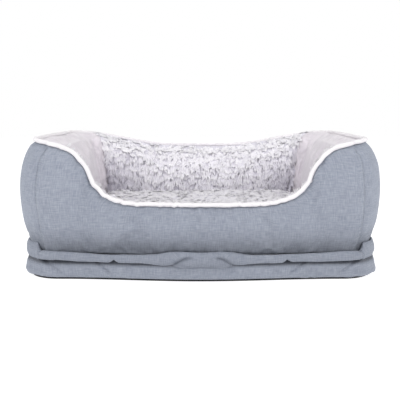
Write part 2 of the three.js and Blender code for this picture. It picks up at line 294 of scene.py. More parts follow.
def grid_normals(grid: Points, wraps: bool) -> Points:
    """Unit normals of a grid of points, from its two directions.

    Args:
        grid: Points as [row, column, xyz], rows running across the loop and columns along it.
        wraps: True if the last column joins the first.

    Returns:
        One normal for each point.
    """
    if wraps:
        along = np.roll(grid, -1, axis=1) - np.roll(grid, 1, axis=1)
    else:
        along = np.gradient(grid, axis=1)
    across = np.gradient(grid, axis=0)
    normal = np.cross(across, along)
    return normal / np.maximum(np.linalg.norm(normal, axis=2, keepdims=True), 1e-9)


@dataclass(frozen=True)
class Puff:
    """A short cloth simulation that swells a stuffed cover between its held seams."""

    pressure: float = 4.0
    slack: float = 0.02
    cap: float = 9.0
    stiffness: float = 15.0
    bending: float = 0.5
    frames: int = 20

    def run(self, name: str, points: Points, faces: Faces, held: Points) -> Points:
        """Swells a closed mesh.

        Args:
            name: A name for the working mesh.
            points: Its vertices in millimetres.
            faces: Its faces.
            held: 1 where a seam holds the vertex, 0 where it is free.

        Returns:
            The moved vertices in millimetres.
        """
        cloth = make_mesh(name, points, faces)
        group = cloth.vertex_groups.new(name="held")
        for weight in np.unique(held[held > 0]):
            group.add(np.flatnonzero(held == weight).tolist(), float(weight), "REPLACE")
        modifier = cloth.modifiers.new("Cloth", "CLOTH")
        self._set(modifier)
        scene = bpy.context.scene
        for step in range(1, self.frames + 1):
            scene.frame_set(step)
        shape = cloth.evaluated_get(bpy.context.evaluated_depsgraph_get()).to_mesh()
        moved = points_of(shape) - points
        cloth.modifiers.remove(modifier)
        mesh = cloth.data
        bpy.data.objects.remove(cloth)
        bpy.data.meshes.remove(mesh)
        scene.frame_set(1)
        length = np.linalg.norm(moved, axis=1, keepdims=True)
        return points + moved * np.minimum(1, self.cap / np.maximum(length, 1e-6))

    def _set(self, modifier: bpy.types.ClothModifier) -> None:
        """Gives the cloth modifier this cover's settings.

        Args:
            modifier: The working mesh's cloth modifier.
        """
        s = modifier.settings
        s.quality = 5
        s.mass = 0.3
        s.tension_stiffness = s.compression_stiffness = self.stiffness
        s.shear_stiffness = self.stiffness / 3
        s.bending_stiffness = self.bending
        s.tension_damping = s.compression_damping = 5
        s.use_pressure = True
        s.uniform_pressure_force = self.pressure
        s.shrink_min = -self.slack
        s.effector_weights.gravity = 0
        s.vertex_group_mass = "held"
        s.pin_stiffness = 1
        modifier.collision_settings.use_collision = False
        modifier.point_cache.frame_start = 1
        modifier.point_cache.frame_end = self.frames


# ---------------------------------------------------------------------------------------------
# Finishes
# ---------------------------------------------------------------------------------------------
# A wave texture's bands stand a fifth of pi apart in its own units.
WAVE_PITCH = math.pi / 10 * 2


def linear(hex_colour: str) -> tuple[float, float, float, float]:
    """An sRGB hex colour as the linear colour that shaders take."""
    parts = [int(hex_colour[i : i + 2], 16) / 255 for i in (1, 3, 5)]
    return (*(c / 12.92 if c <= 0.04045 else ((c + 0.055) / 1.055) ** 2.4 for c in parts), 1.0)


def add_node(
    tree: bpy.types.NodeTree,
    kind: str,
    settings: dict[str, object] | None = None,
    **links: bpy.types.NodeSocket,
) -> bpy.types.Node:
    """Adds a shader node.

    Args:
        tree: The node tree.
        kind: The node's type, such as ShaderNodeTexNoise.
        settings: Properties of the node, or values of its inputs by name.
        links: For each input's name with spaces as underscores, the output that feeds it.

    Returns:
        The node.
    """
    node = tree.nodes.new(kind)
    for key, value in (settings or {}).items():
        if hasattr(node, key) and key not in node.inputs:
            setattr(node, key, value)
        else:
            node.inputs[int(key) if key.isdigit() else key].default_value = value
    for key, source in links.items():
        key = key.lstrip("_").replace("_", " ")
        tree.links.new(source, node.inputs[int(key) if key.isdigit() else key])
    return node


def new_material(
    name: str, roughness: float, **sockets: float
) -> tuple[bpy.types.Material, bpy.types.NodeTree, bpy.types.Node]:
    """A material with one Principled shader.

    Args:
        name: The material's name.
        roughness: Its plain roughness.
        sockets: Other values for the shader's own inputs, with spaces as underscores.

    Returns:
        The material, its node tree and the shader.
    """
    material = bpy.data.materials.new(name)
    material.use_nodes = True
    tree = material.node_tree
    shader = tree.nodes["Principled BSDF"]
    shader.inputs["Roughness"].default_value = roughness
    for key, value in sockets.items():
        shader.inputs[key.replace("_", " ")].default_value = value
    return material, tree, shader


class Finish:
    """A material made once and shared by every piece that wears it."""

    name = "finish"

    def material(self) -> bpy.types.Material:
        """The material, made the first time it is asked for."""
        return bpy.data.materials.get(self.name) or self.build()

    def build(self) -> bpy.types.Material:
        """Makes the material's nodes."""
        raise NotImplementedError

    def dress(self, obj: bpy.types.Object) -> None:
        """Puts the material on a piece."""
        obj.data.materials.clear()
        obj.data.materials.append(self.material())

    def two_tones(
        self,
        tree: bpy.types.NodeTree,
        shader: bpy.types.Node,
        share: bpy.types.NodeSocket,
        height: bpy.types.NodeSocket,
        strength: float,
        depth: float,
    ) -> None:
        """Colours the shader between the finish's dark and light and gives it its relief.

        Args:
            tree: The material's node tree.
            shader: Its shader.
            share: Output that runs from 0, dark, to 1, light.
            height: Output that the relief follows.
            strength: How strongly the relief shows.
            depth: The relief's depth in millimetres.
        """
        tones = {"data_type": "RGBA", "6": linear(self.dark), "7": linear(self.light)}
        colour = add_node(tree, "ShaderNodeMix", tones, _0=share)
        tree.links.new(colour.outputs[2], shader.inputs["Base Color"])
        bump = add_node(tree, "ShaderNodeBump", {"Strength": strength, "Distance": depth * MM}, Height=height)
        tree.links.new(bump.outputs["Normal"], shader.inputs["Normal"])


def wear(obj: bpy.types.Object, finish: Finish, body: str, node: str) -> None:
    """Dresses a piece and ties it to the frame.

    Args:
        obj: The piece.
        finish: Its finish.
        body: The body that it rides on.
        node: The CAD node that it stands for.
    """
    finish.dress(obj)
    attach(obj, body)
    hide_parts(node)


def cloth_place(
    tree: bpy.types.NodeTree, pitch_u: float, pitch_v: float, turn: float = 0.0
) -> bpy.types.NodeSocket:
    """The cloth's own lie, measured in units of a pattern.

    Args:
        tree: The node tree.
        pitch_u: Length of one unit along the first direction, in millimetres.
        pitch_v: Length of one unit along the second direction, in millimetres.
        turn: Angle that the pattern is turned by, in degrees.

    Returns:
        The vector output.
    """
    lie = add_node(tree, "ShaderNodeUVMap", {"uv_map": "cloth"})
    spin = {"vector_type": "TEXTURE", "Rotation": (0, 0, math.radians(turn))}
    turned = add_node(tree, "ShaderNodeMapping", spin, Vector=lie.outputs["UV"])
    scale = (1 / (pitch_u * MM), 1 / (pitch_v * MM), 1)
    scaled = add_node(tree, "ShaderNodeMapping", {"Scale": scale}, Vector=turned.outputs["Vector"])
    return scaled.outputs["Vector"]


@dataclass(frozen=True)
class OuterCloth(Finish):
    """Linen-look woven polyester: two heathered thread directions, matt, slightly slubbed.

    The real threads are about 0.6 mm apart. They are drawn at 1.8 mm, so that they show.

    Attributes:
        name: The material's name.
        thread: Distance between threads as drawn, in millimetres.
        slub: Length of a slub in millimetres.
        cloud: Size of the cloudy wash in millimetres.
        dark: The darker threads.
        light: The lighter threads.
        depth: Painted shade: tone multiplied into the colour at heights in millimetres, darker low on the bed
            where shade falls, a little lighter at the top.
    """

    name: str = "linen_look_polyester"
    thread: float = 1.8
    slub: float = 16.0
    cloud: float = 70.0
    dark: str = "#808694"
    light: str = "#9da2ae"
    depth: tuple[tuple[float, float], ...] = (
        (46, 0.5), (60, 0.56), (73, 0.66), (86, 0.84), (108, 1.0), (200, 1.06))

    def build(self) -> bpy.types.Material:
        """Makes the crossed slubs, the cloudy wash, the painted shade by height and the weave's relief.

        Returns:
            The material.
        """
        material, tree, shader = new_material(self.name, 0.92, Sheen_Weight=0.25, Sheen_Roughness=0.5)
        shader.inputs["Sheen Tint"].default_value = linear("#dfe6f2")
        slubs = {"Scale": 1.0, "Detail": 2.0}
        warp = add_node(tree, "ShaderNodeTexNoise", slubs, Vector=cloth_place(tree, self.thread, self.slub))
        weft = add_node(tree, "ShaderNodeTexNoise", slubs, Vector=cloth_place(tree, self.slub, self.thread))
        cloud = add_node(tree, "ShaderNodeTexNoise", {"Scale": 1.0, "Detail": 3.0},
                         Vector=cloth_place(tree, self.cloud, self.cloud))
        add = {"operation": "ADD"}
        cross = add_node(tree, "ShaderNodeMath", add, _0=warp.outputs["Fac"], _1=weft.outputs["Fac"])
        soft = add_node(tree, "ShaderNodeMath", {"operation": "MULTIPLY_ADD", "1": 0.35},
                        _0=cloud.outputs["Fac"], _2=cross.outputs["Value"])
        shade = add_node(tree, "ShaderNodeMapRange", {"From Min": 0.85, "From Max": 1.5},
                         Value=soft.outputs["Value"])
        tones = {"data_type": "RGBA", "6": linear(self.dark), "7": linear(self.light)}
        colour = add_node(tree, "ShaderNodeMix", tones, _0=shade.outputs["Result"])
        # Painted shade: the colour is multiplied by a grey ramp over object height, darker low on the bed and
        # slightly lighter at the top.
        place = add_node(tree, "ShaderNodeTexCoord")
        height = add_node(tree, "ShaderNodeSeparateXYZ", Vector=place.outputs["Object"])
        low, high = self.depth[0][0], self.depth[-1][0]
        level = add_node(tree, "ShaderNodeMapRange", {"From Min": low * MM, "From Max": high * MM},
                         Value=height.outputs["Z"])
        ramp = add_node(tree, "ShaderNodeValToRGB", Fac=level.outputs["Result"])
        for index, (z, tone) in enumerate(self.depth):
            share = (z - low) / (high - low)
            stops = ramp.color_ramp.elements
            stop = stops[0] if index == 0 else stops[-1] if share == 1 else stops.new(share)
            stop.color = (tone, tone, tone, 1)
        shade_painted_colour = add_node(tree, "ShaderNodeMix", {"data_type": "RGBA", "blend_type": "MULTIPLY", "0": 1.0},
                         _6=colour.outputs[2], _7=ramp.outputs["Color"])
        tree.links.new(shade_painted_colour.outputs[2], shader.inputs["Base Color"])
        bands = {"Scale": 1.0, "Distortion": 1.2, "Detail": 1.0}
        over = add_node(tree, "ShaderNodeTexWave", bands,
                        Vector=cloth_place(tree, self.thread * WAVE_PITCH, self.slub))
        under = add_node(tree, "ShaderNodeTexWave", {**bands, "bands_direction": "Y"},
                         Vector=cloth_place(tree, self.slub, self.thread * WAVE_PITCH))
        ribs = add_node(tree, "ShaderNodeMath", add, _0=over.outputs["Fac"], _1=under.outputs["Fac"])
        relief = add_node(tree, "ShaderNodeMath", add, _0=ribs.outputs["Value"], _1=cross.outputs["Value"])
        bump = add_node(tree, "ShaderNodeBump", {"Strength": 0.35, "Distance": 0.4 * MM},
                        Height=relief.outputs["Value"])
        tree.links.new(bump.outputs["Normal"], shader.inputs["Normal"])
        return material


@dataclass(frozen=True)
class Velour(Finish):
    """Short-cut velour: a soft, slightly pink grey whose brushed pile lifts light at grazing angles."""

    name: str = "short_pile_velour"
    dark: str = "#ccc6cd"
    light: str = "#e4dee4"
    brushed: float = 28.0
    nap: float = 1.6

    def build(self) -> bpy.types.Material:
        """Makes the brushed patches and the nap.

        Returns:
            The material.
        """
        material, tree, shader = new_material(self.name, 0.95, Sheen_Weight=0.6, Sheen_Roughness=0.45)
        shader.inputs["Sheen Tint"].default_value = linear("#ffffff")
        patch = add_node(tree, "ShaderNodeTexNoise", {"Scale": 1.0, "Detail": 3.0, "Distortion": 0.6},
                         Vector=cloth_place(tree, self.brushed, self.brushed * 1.6))
        nap = add_node(tree, "ShaderNodeTexNoise", {"Scale": 1.0, "Detail": 2.0},
                       Vector=cloth_place(tree, self.nap, self.nap * 1.8))
        tone = add_node(tree, "ShaderNodeMath", {"operation": "MULTIPLY_ADD", "1": 0.6},
                        _0=nap.outputs["Fac"], _2=patch.outputs["Fac"])
        shade = add_node(tree, "ShaderNodeMapRange", {"From Min": 0.5, "From Max": 1.1},
                         Value=tone.outputs["Value"])
        self.two_tones(tree, shader, shade.outputs["Result"], nap.outputs["Fac"], 0.4, 0.6)
        return material


@dataclass(frozen=True)
class PlushPile(Finish):
    """Long-pile polyester plush: white-lavender tips over violet-grey roots."""

    name: str = "long_pile_plush"
    root: str = "#b5b2bf"
    middle: str = "#e4e1ea"
    tip: str = "#f7f5f9"

    def build(self) -> bpy.types.Material:
        """Makes the root-to-tip colour from the tufts' own attribute.

        Returns:
            The material.
        """
        material, tree, shader = new_material(self.name, 0.9, Sheen_Weight=0.5, Sheen_Roughness=0.4)
        pile = add_node(tree, "ShaderNodeAttribute", {"attribute_name": "pile"})
        parts = add_node(tree, "ShaderNodeSeparateColor", Color=pile.outputs["Color"])
        reach = add_node(tree, "ShaderNodeMath", {"operation": "MULTIPLY_ADD", "1": 0.55},
                         _0=parts.outputs["Green"], _2=parts.outputs["Red"])
        shade = add_node(tree, "ShaderNodeMapRange", {"From Min": 0.2, "From Max": 1.25},
                         Value=reach.outputs["Value"])
        ramp = add_node(tree, "ShaderNodeValToRGB", Fac=shade.outputs["Result"])
        ramp.color_ramp.elements[0].color = linear(self.root)
        ramp.color_ramp.elements[1].color = linear(self.tip)
        ramp.color_ramp.elements.new(0.45).color = linear(self.middle)
        tree.links.new(ramp.outputs["Color"], shader.inputs["Base Color"])
        return material


@dataclass(frozen=True)
class PlushBacking(Finish):
    """The knitted ground that the pile stands in, seen only between tufts."""

    name: str = "plush_knit_ground"
    dark: str = "#c9c6d1"
    light: str = "#e6e3ec"

    def build(self) -> bpy.types.Material:
        """Makes a mottled knit.

        Returns:
            The material.
        """
        material, tree, shader = new_material(self.name, 0.95, Sheen_Weight=0.3)
        place = add_node(tree, "ShaderNodeTexCoord")
        mottle = add_node(tree, "ShaderNodeTexNoise", {"Scale": 180.0, "Detail": 3.0},
                          Vector=place.outputs["Object"])
        self.two_tones(tree, shader, mottle.outputs["Fac"], mottle.outputs["Fac"], 0.5, 1.0)
        return material


@dataclass(frozen=True)
class PipingCloth(Finish):
    """Bias-cut white twill over a cord: fine diagonal ribs, drawn at 2 mm so that they show."""

    name: str = "white_bias_piping"
    rib: float = 2.0
    fluff: float = 9.0
    dark: str = "#dedade"
    light: str = "#f5f2f4"

    def build(self) -> bpy.types.Material:
        """Makes the diagonal ribs.

        Returns:
            The material.
        """
        material, tree, shader = new_material(self.name, 0.8, Sheen_Weight=0.2)
        rib = add_node(tree, "ShaderNodeTexWave", {"Scale": 1.0, "Distortion": 0.8, "Detail": 1.0},
                       Vector=cloth_place(tree, self.rib * WAVE_PITCH, self.rib * 8, 45))
        fluff = add_node(tree, "ShaderNodeTexNoise", {"Scale": 1.0, "Detail": 3.0},
                         Vector=cloth_place(tree, self.fluff, self.fluff))
        tone = add_node(tree, "ShaderNodeMath", {"operation": "MULTIPLY_ADD", "1": 0.3},
                        _0=rib.outputs["Fac"], _2=fluff.outputs["Fac"])
        self.two_tones(tree, shader, tone.outputs["Value"], rib.outputs["Fac"], 0.3, 0.4)
        return material


@dataclass(frozen=True)
class Grain(Finish):
    """A plain finish with a fine mottle and relief on object coordinates.

    It serves wadding, grip cloth, moulded nylon and plated zinc, which differ in the values.
    """

    name: str = "polyester_wadding"
    dark: str = "#e4e4e0"
    light: str = "#f6f6f3"
    size: float = 3.0
    stretch: tuple[float, float, float] = (1.0, 1.0, 1.0)
    roughness: float = 0.95
    metallic: float = 0.0
    relief: float = 0.5
    detail: float = 3.0

    def build(self) -> bpy.types.Material:
        """Makes the mottle and its relief.

        Returns:
            The material.
        """
        material, tree, shader = new_material(self.name, self.roughness, Metallic=self.metallic)
        place = add_node(tree, "ShaderNodeTexCoord")
        scale = tuple(s / (self.size * MM) for s in self.stretch)
        scaled = add_node(tree, "ShaderNodeMapping", {"Scale": scale}, Vector=place.outputs["Object"])
        mottle = add_node(tree, "ShaderNodeTexNoise", {"Scale": 1.0, "Detail": self.detail},
                          Vector=scaled.outputs["Vector"])
        self.two_tones(tree, shader, mottle.outputs["Fac"], mottle.outputs["Fac"], 0.4, self.relief)
        return material


# The outer cloth carries painted shade by height; the flap and the base band get copies with their own
# painted shade, the band's a painted shadow under the flap's edge.
OUTER_CLOTH = OuterCloth()
FLAP_CLOTH = OuterCloth(
    "linen_look_polyester_flap_painted_shade", depth=((26, 0.66), (34, 0.74), (42, 0.84), (50, 0.88), (70, 0.9)))
BASE_CLOTH = OuterCloth(
    "linen_look_polyester_base_painted_shadow", depth=((0, 0.8), (12, 0.95), (27, 0.95), (31, 0.75), (35, 0.32), (52, 0.2)))
VELOUR = Velour()
PLUSH = PlushPile()
PLUSH_GROUND = PlushBacking()
PIPING_CLOTH = PipingCloth()
WADDING = Grain()
GRIP_CLOTH = Grain("dotted_grip_cloth", "#141416", "#2a2a2e", 2.5, roughness=0.75, relief=0.3)
ZIP_TAPE = Grain("woven_zip_tape", "#6f7b8b", "#8994a3", 0.9, (1.0, 1.0, 3.0), roughness=0.85, relief=0.2)
NYLON_COIL = Grain("moulded_nylon", "#66717f", "#7c8795", 1.5, roughness=0.45, relief=0.05)
PLATED_ZINC = Grain("plated_zinc", "#8d9298", "#b1b5ba", 0.8, roughness=0.32, metallic=1.0, relief=0.03)


# ---------------------------------------------------------------------------------------------
# The bed's outlines
# ---------------------------------------------------------------------------------------------
@dataclass(frozen=True)
class Plan:
    """A rounded rectangle seen from above, with a front that may bow out.

    A lap position runs 0 to 8 round it: even spans are the straight sides (front, right, back,
    left) and odd spans the corners between them.
    """

    half_x: float
    front: float
    back: float
    radius: float
    bow: float = 0.0

    def at(self, lap: Points) -> Points:
        """Points of the outline.

        Args:
            lap: Lap positions.

        Returns:
            Rows of x and y in millimetres.
        """
        lap = np.mod(np.asarray(lap, float), 8)
        side, t = lap.astype(int), lap - lap.astype(int)
        sx, low, high = self.half_x - self.radius, self.radius - self.front, self.back - self.radius
        angle = (side // 2 - 1) * math.pi / 2 + t * math.pi / 2
        centre_x = np.select([side == 1, side == 3], [sx, sx], -sx)
        centre_y = np.select([side == 1, side == 7], [low, low], high)
        x = centre_x + self.radius * np.cos(angle)
        y = centre_y + self.radius * np.sin(angle)
        across = sx * (2 * t - 1)
        bowed = -self.front - self.bow * np.cos(across / sx * math.pi / 2) ** 2
        x = np.select([side == 0, side == 2, side == 4, side == 6],
                      [across, self.half_x + 0 * t, -across, -self.half_x + 0 * t], x)
        y = np.select([side == 0, side == 2, side == 4, side == 6],
                      [bowed, low + (high - low) * t, self.back + 0 * t, high + (low - high) * t], y)
        return np.stack([x, y], axis=-1)

    def shrunk(self, inset: float) -> "Plan":
        """The same outline moved in by a distance.

        Args:
            inset: The distance in millimetres.

        Returns:
            The smaller outline.
        """
        radius = max(self.radius - inset, 6)
        return Plan(self.half_x - inset, self.front - inset, self.back - inset, radius, self.bow)


BASE_LOW, BASE_HIGH = span("base_band")
SEAT_LOW, SEAT_HIGH = span("cushion_cover")
FRONT_BOW = 20
SEAT_CLEARANCE = 5
BASE_PLAN = Plan(BASE_HIGH[0], -BASE_LOW[1] - FRONT_BOW, BASE_HIGH[1], 76, FRONT_BOW)
WELL_PLAN = Plan(
    SEAT_HIGH[0] + SEAT_CLEARANCE, SEAT_CLEARANCE - SEAT_LOW[1], SEAT_HIGH[1] + SEAT_CLEARANCE, 32)
WALL_THICKNESS = 100.0
PANEL_SEAM = 1.26
SEAM_LAPS = (PANEL_SEAM, 5 - PANEL_SEAM, 4 + PANEL_SEAM, 9 - PANEL_SEAM)


def inset_points(lap: Points, inset: Points) -> Points:
    """Points between the base's outline and the well's.

    Args:
        lap: Lap positions.
        inset: Distance in from the base's outline, from 0 to the wall's thickness.

    Returns:
        Rows of x and y in millimetres.
    """
    share = (np.asarray(inset, float) / WALL_THICKNESS)[..., None]
    return BASE_PLAN.at(lap) * (1 - share) + WELL_PLAN.at(lap) * share


def side_share(lap: Points, blend: float = 0.03, past: float = 0.0) -> Points:
    """1 on the side walls and 0 on the front and back walls, changing at or just past the upright seams.

    Args:
        lap: Lap positions.
        blend: Half the width of the change, in laps.
        past: How far beyond the seam the change lies, in laps.

    Returns:
        Shares from 0 to 1.
    """
    turn = np.mod(np.asarray(lap, float), 4)
    first, last = PANEL_SEAM + past, 5 - PANEL_SEAM - past
    return smoothstep(first - blend, first + blend, turn) * (1 - smoothstep(last - blend, last + blend, turn))


class Side(Enum):
    """The wall's four chambers, each with its word in names and its first and last upright seam."""

    FRONT = ("front", 3, 0)
    RIGHT = ("right", 0, 1)
    BACK = ("back", 1, 2)
    LEFT = ("left", 2, 3)

    def __init__(self, label: str, first_seam: int, last_seam: int) -> None:
        """Names the parts of the value.

        Args:
            label: The side's word in the names of its pieces.
            first_seam: Number of its first upright seam.
            last_seam: Number of its last upright seam.
        """
        self.label = label
        self.first_seam = first_seam
        self.last_seam = last_seam


@dataclass
class Loop:
    """Columns spread evenly round the bed, with one on each upright seam.

    Attributes:
        count: Number of columns before they are doubled.
    """

    count: int = 336

    def __post_init__(self) -> None:
        """Works out the lap position of each column."""
        fine = np.linspace(0, 8, 8001)
        line = inset_points(fine, np.full(fine.shape, 30.0))
        along = np.concatenate([[0], np.cumsum(np.linalg.norm(np.diff(line, axis=0), axis=1))])
        self.length = float(along[-1])
        self.laps = np.interp(np.arange(self.count) / self.count * self.length, along, fine)
        self.seams = []
        for lap in SEAM_LAPS:
            nearest = int(np.argmin(np.abs(self.laps - lap)))
            self.laps[nearest] = lap
            self.seams.append(nearest)
        self.along = np.interp(self.laps, fine, along)

    def doubled(self) -> "Loop":
        """The same loop with a column added between every two.

        Returns:
            The finer loop.
        """
        finer = Loop.__new__(Loop)
        finer.count = self.count * 2
        finer.length = self.length
        finer.laps = self._between(self.laps, 8.0)
        finer.along = self._between(self.along, self.length)
        finer.seams = [2 * s for s in self.seams]
        return finer

    @staticmethod
    def _between(values: Points, period: float) -> Points:
        """The values with the mid-value of every two neighbours added after the first."""
        following = np.append(values[1:], values[0] + period)
        return np.stack([values, (values + following) / 2], axis=1).ravel()

    def columns(self, side: Side) -> Points:
        """Column numbers of one chamber, from its first upright seam to its last, both included.

        Args:
            side: The chamber.

        Returns:
            The column numbers.
        """
        first, last = self.seams[side.first_seam], self.seams[side.last_seam]
        return np.arange(first, last + 1 + (self.count if last < first else 0)) % self.count

    def run(self, side: Side) -> Points:
        """Lengths along the loop at a chamber's columns, always growing."""
        along = self.along[self.columns(side)]
        return np.where(along < along[0], along + self.length, along)


def between_rows(grid: Points) -> Points:
    """A grid with a row added between every two, on a smooth curve through them.

    Args:
        grid: Points as [row, column, xyz].

    Returns:
        The finer grid.
    """
    g = np.concatenate([2 * grid[:1] - grid[1:2], grid, 2 * grid[-1:] - grid[-2:-1]])
    mid = (9 * (g[1:-2] + g[2:-1]) - g[:-3] - g[3:]) / 16
    out = np.empty((2 * len(grid) - 1, *grid.shape[1:]))
    out[0::2], out[1::2] = grid, mid
    return out


def between_columns(grid: Points) -> Points:
    """A closed loop's grid with a column added between every two, on a smooth curve."""
    mid = (9 * (grid + np.roll(grid, -1, 1)) - np.roll(grid, 1, 1) - np.roll(grid, -2, 1)) / 16
    return np.stack([grid, mid], axis=2).reshape(grid.shape[0], -1, grid.shape[2])


def run_lengths(grid: Points) -> Points:
    """Distance of every point of a grid from the first row, measured along its column."""
    steps = np.linalg.norm(np.diff(grid, axis=0), axis=2)
    return np.concatenate([np.zeros((1, grid.shape[1])), np.cumsum(steps, axis=0)])


@dataclass
class SeamLine:
    """The height of the wall's piped seam round the bed.

    Attributes:
        side_top: Height on the side walls.
        back_sag: How far the middle of the back hangs below its corners.
        entry: Points of the front entry's edge, as distance from the middle and height.
    """

    side_top: float = 262.5
    back_sag: float = 34.5
    entry: tuple[tuple[float, float], ...] = (
        (0, 142), (96, 142), (137, 144), (179, 157), (207, 184), (224, 220), (256, 249), (322, 262.5))

    def __post_init__(self) -> None:
        """Draws the entry's edge as a smooth curve."""
        self.edge = spline(list(self.entry), 200)

    def height(self, place: Points) -> Points:
        """Height of the seam over a place in plan.

        Args:
            place: Points whose first two numbers are x and y.

        Returns:
            Heights in millimetres.
        """
        x, y = np.abs(place[..., 0]), place[..., 1]
        front = np.interp(x, self.edge[:, 0], self.edge[:, 1])
        back = self.side_top - self.back_sag * (1 - smoothstep(60, 340, x))
        towards_side = front + (self.side_top - front) * smoothstep(-182, -107, y)
        return towards_side + (back - towards_side) * smoothstep(113, 183, y)


# ---------------------------------------------------------------------------------------------
# The bolster wall
# ---------------------------------------------------------------------------------------------
@dataclass
class BolsterWall:
    """Four stuffed chambers round the well, each an outer panel, a lining, stuffing and piping."""

    body: str = "bed"
    foot: float = 52.4
    roll_top: float = 74.0
    outer_rows: int = 36
    inner_rows: int = 46
    floor_rows: int = 4
    piping_radius: float = 4.3
    piping_around: int = 14
    sewn_in: float = 6.0
    filling_inset: float = 4.0
    seam_gather: float = 1.12
    seam: SeamLine = field(default_factory=SeamLine)
    loop: Loop = field(default_factory=Loop)
    puff: Puff = field(default_factory=lambda: Puff(cap=8.0))

    def build(self) -> None:
        """Makes and dresses every piece of the wall."""
        self.shape()
        for side in Side:
            self.skin(side, "panel", slice(0, self.seam_row + 1), OUTER_CLOTH)
            cloth, slot = (PLUSH_GROUND, "plush") if side is Side.BACK else (VELOUR, "velour")
            self.skin(side, "lining", slice(self.seam_row, None), cloth)
            self.stuffing(side)
            self.piping(side)

    def seam_height(self, lap: float, inset: float) -> float:
        """Height of the seam at one lap and distance in."""
        return float(self.seam.height(inset_points(np.array(lap), np.array(float(inset)))))

    def section(self, lap: float) -> tuple[Points, Points]:
        """The wall's curve at one lap, as inset and height.

        Args:
            lap: The lap position.

        Returns:
            The outer face from foot to seam, and the lining from the seam to the inner foot.
        """
        s = float(side_share(np.array(lap)))
        low = self.foot + 7 + (self.roll_top - self.foot - 7) * s
        outer = [(4 + 4 * s, 0), (-3 + 2 * s, 0.17), (-8 + 2 * s, 0.43), (-7 + s, 0.62),
                 (s, 0.82), (9 + 4 * s, 0.93), (20 + 6 * s, 1)]
        over = [(32 + 5 * s, 5), (46 + 3 * s, 6), (60, 2)]
        inner = [(72, 0.97), (84, 0.8), (95, 0.6), (99, 0.42), (100, 0.25)]
        curve = [(7 + 4 * s, self.foot)]
        curve += [(i, low + (self.seam_height(lap, i) - low) * share) for i, share in outer]
        curve += [(i, self.seam_height(lap, i) + lift) for i, lift in over]
        curve += [(i, self.foot + (self.seam_height(lap, i) - self.foot) * share) for i, share in inner]
        curve.append((WALL_THICKNESS, self.foot))
        steps = 12
        line = spline(curve, steps * (len(curve) - 1) + 1)
        cut = len(outer) * steps
        return respaced(line[: cut + 1], self.outer_rows + 1), respaced(line[cut:], self.inner_rows + 1)

    def shape(self) -> None:
        """Lofts the sections round the bed, swells them and adds the fabric's folds."""
        sections = [np.vstack([a, b[1:]]) for a, b in map(self.section, self.loop.laps)]
        flat = np.stack(sections, axis=1)
        rows = flat.shape[0]
        laps = np.broadcast_to(self.loop.laps, flat.shape[:2])
        grid = np.concatenate([inset_points(laps, flat[..., 0]), flat[..., 1:]], axis=2)
        held = self._held(rows)
        grid = self._swell(grid, held)
        fine = between_columns(between_rows(grid))
        self.fine_loop = self.loop.doubled()
        self.seam_row = 2 * self.outer_rows
        self.grid = self._folds(fine)
        self.normals = self._outward(self.grid)
        self.across = run_lengths(self.grid)

    def _outward(self, grid: Points) -> Points:
        """Normals that point out of the stuffing.

        Args:
            grid: The wall's surface.

        Returns:
            One normal for each point.
        """
        normal = grid_normals(grid, True)
        middle = normal[self.outer_rows // 2, 0]
        return normal if middle[1] < 0 else -normal

    def _held(self, rows: int) -> Points:
        """1 on the feet, the piped seam and the upright seams, less beside them.

        Args:
            rows: Number of rows of the surface.

        Returns:
            The hold on each point.
        """
        held = np.zeros((rows, self.loop.count))
        held[[0, -1]] = 1
        held[self.outer_rows] = 1
        held[[self.outer_rows - 1, self.outer_rows + 1]] = 0.35
        for column in self.loop.seams:
            held[: self.outer_rows, column] = 0.6
            held[self.outer_rows :, column] = np.maximum(held[self.outer_rows :, column], 0.7)
        return held

    def _swell(self, grid: Points, held: Points) -> Points:
        """Runs the cloth simulation on the closed ring of wall.

        Args:
            grid: The wall's surface, as drafted.
            held: The hold on each of its points.

        Returns:
            The swollen surface.
        """
        rows, columns = grid.shape[:2]
        row = np.arange(rows)[:, None]
        from_seam = np.minimum(np.minimum(row, np.abs(row - self.outer_rows)), rows - 1 - row)
        from_column = np.min([np.abs((np.arange(columns) - s + columns // 2) % columns - columns // 2)
                              for s in self.loop.seams], axis=0)[None, :]
        free = smoothstep(0, 7, from_seam) * smoothstep(0, 7, from_column)
        start = grid - self._outward(grid) * (self.sewn_in * free)[..., None]
        steps = np.linspace(0, 1, self.floor_rows + 2)[1:-1, None, None]
        floor = grid[-1] * (1 - steps) + grid[0] * steps
        points = np.concatenate([start, floor])
        faces = grid_faces(len(points), columns, True)
        last = (len(points) - 1) * columns
        faces += [(last + c, last + (c + 1) % columns, (c + 1) % columns, c) for c in range(columns)]
        weights = np.concatenate([held, np.ones((self.floor_rows, columns))])
        if self._outward(grid)[2, 0] @ np.cross(points[3, 0] - points[2, 0], points[2, 1] - points[2, 0]) > 0:
            faces = [tuple(reversed(f)) for f in faces]
        moved = self.puff.run("wall_cloth", points.reshape(-1, 3), faces, weights.ravel())
        return moved.reshape(points.shape)[:rows]

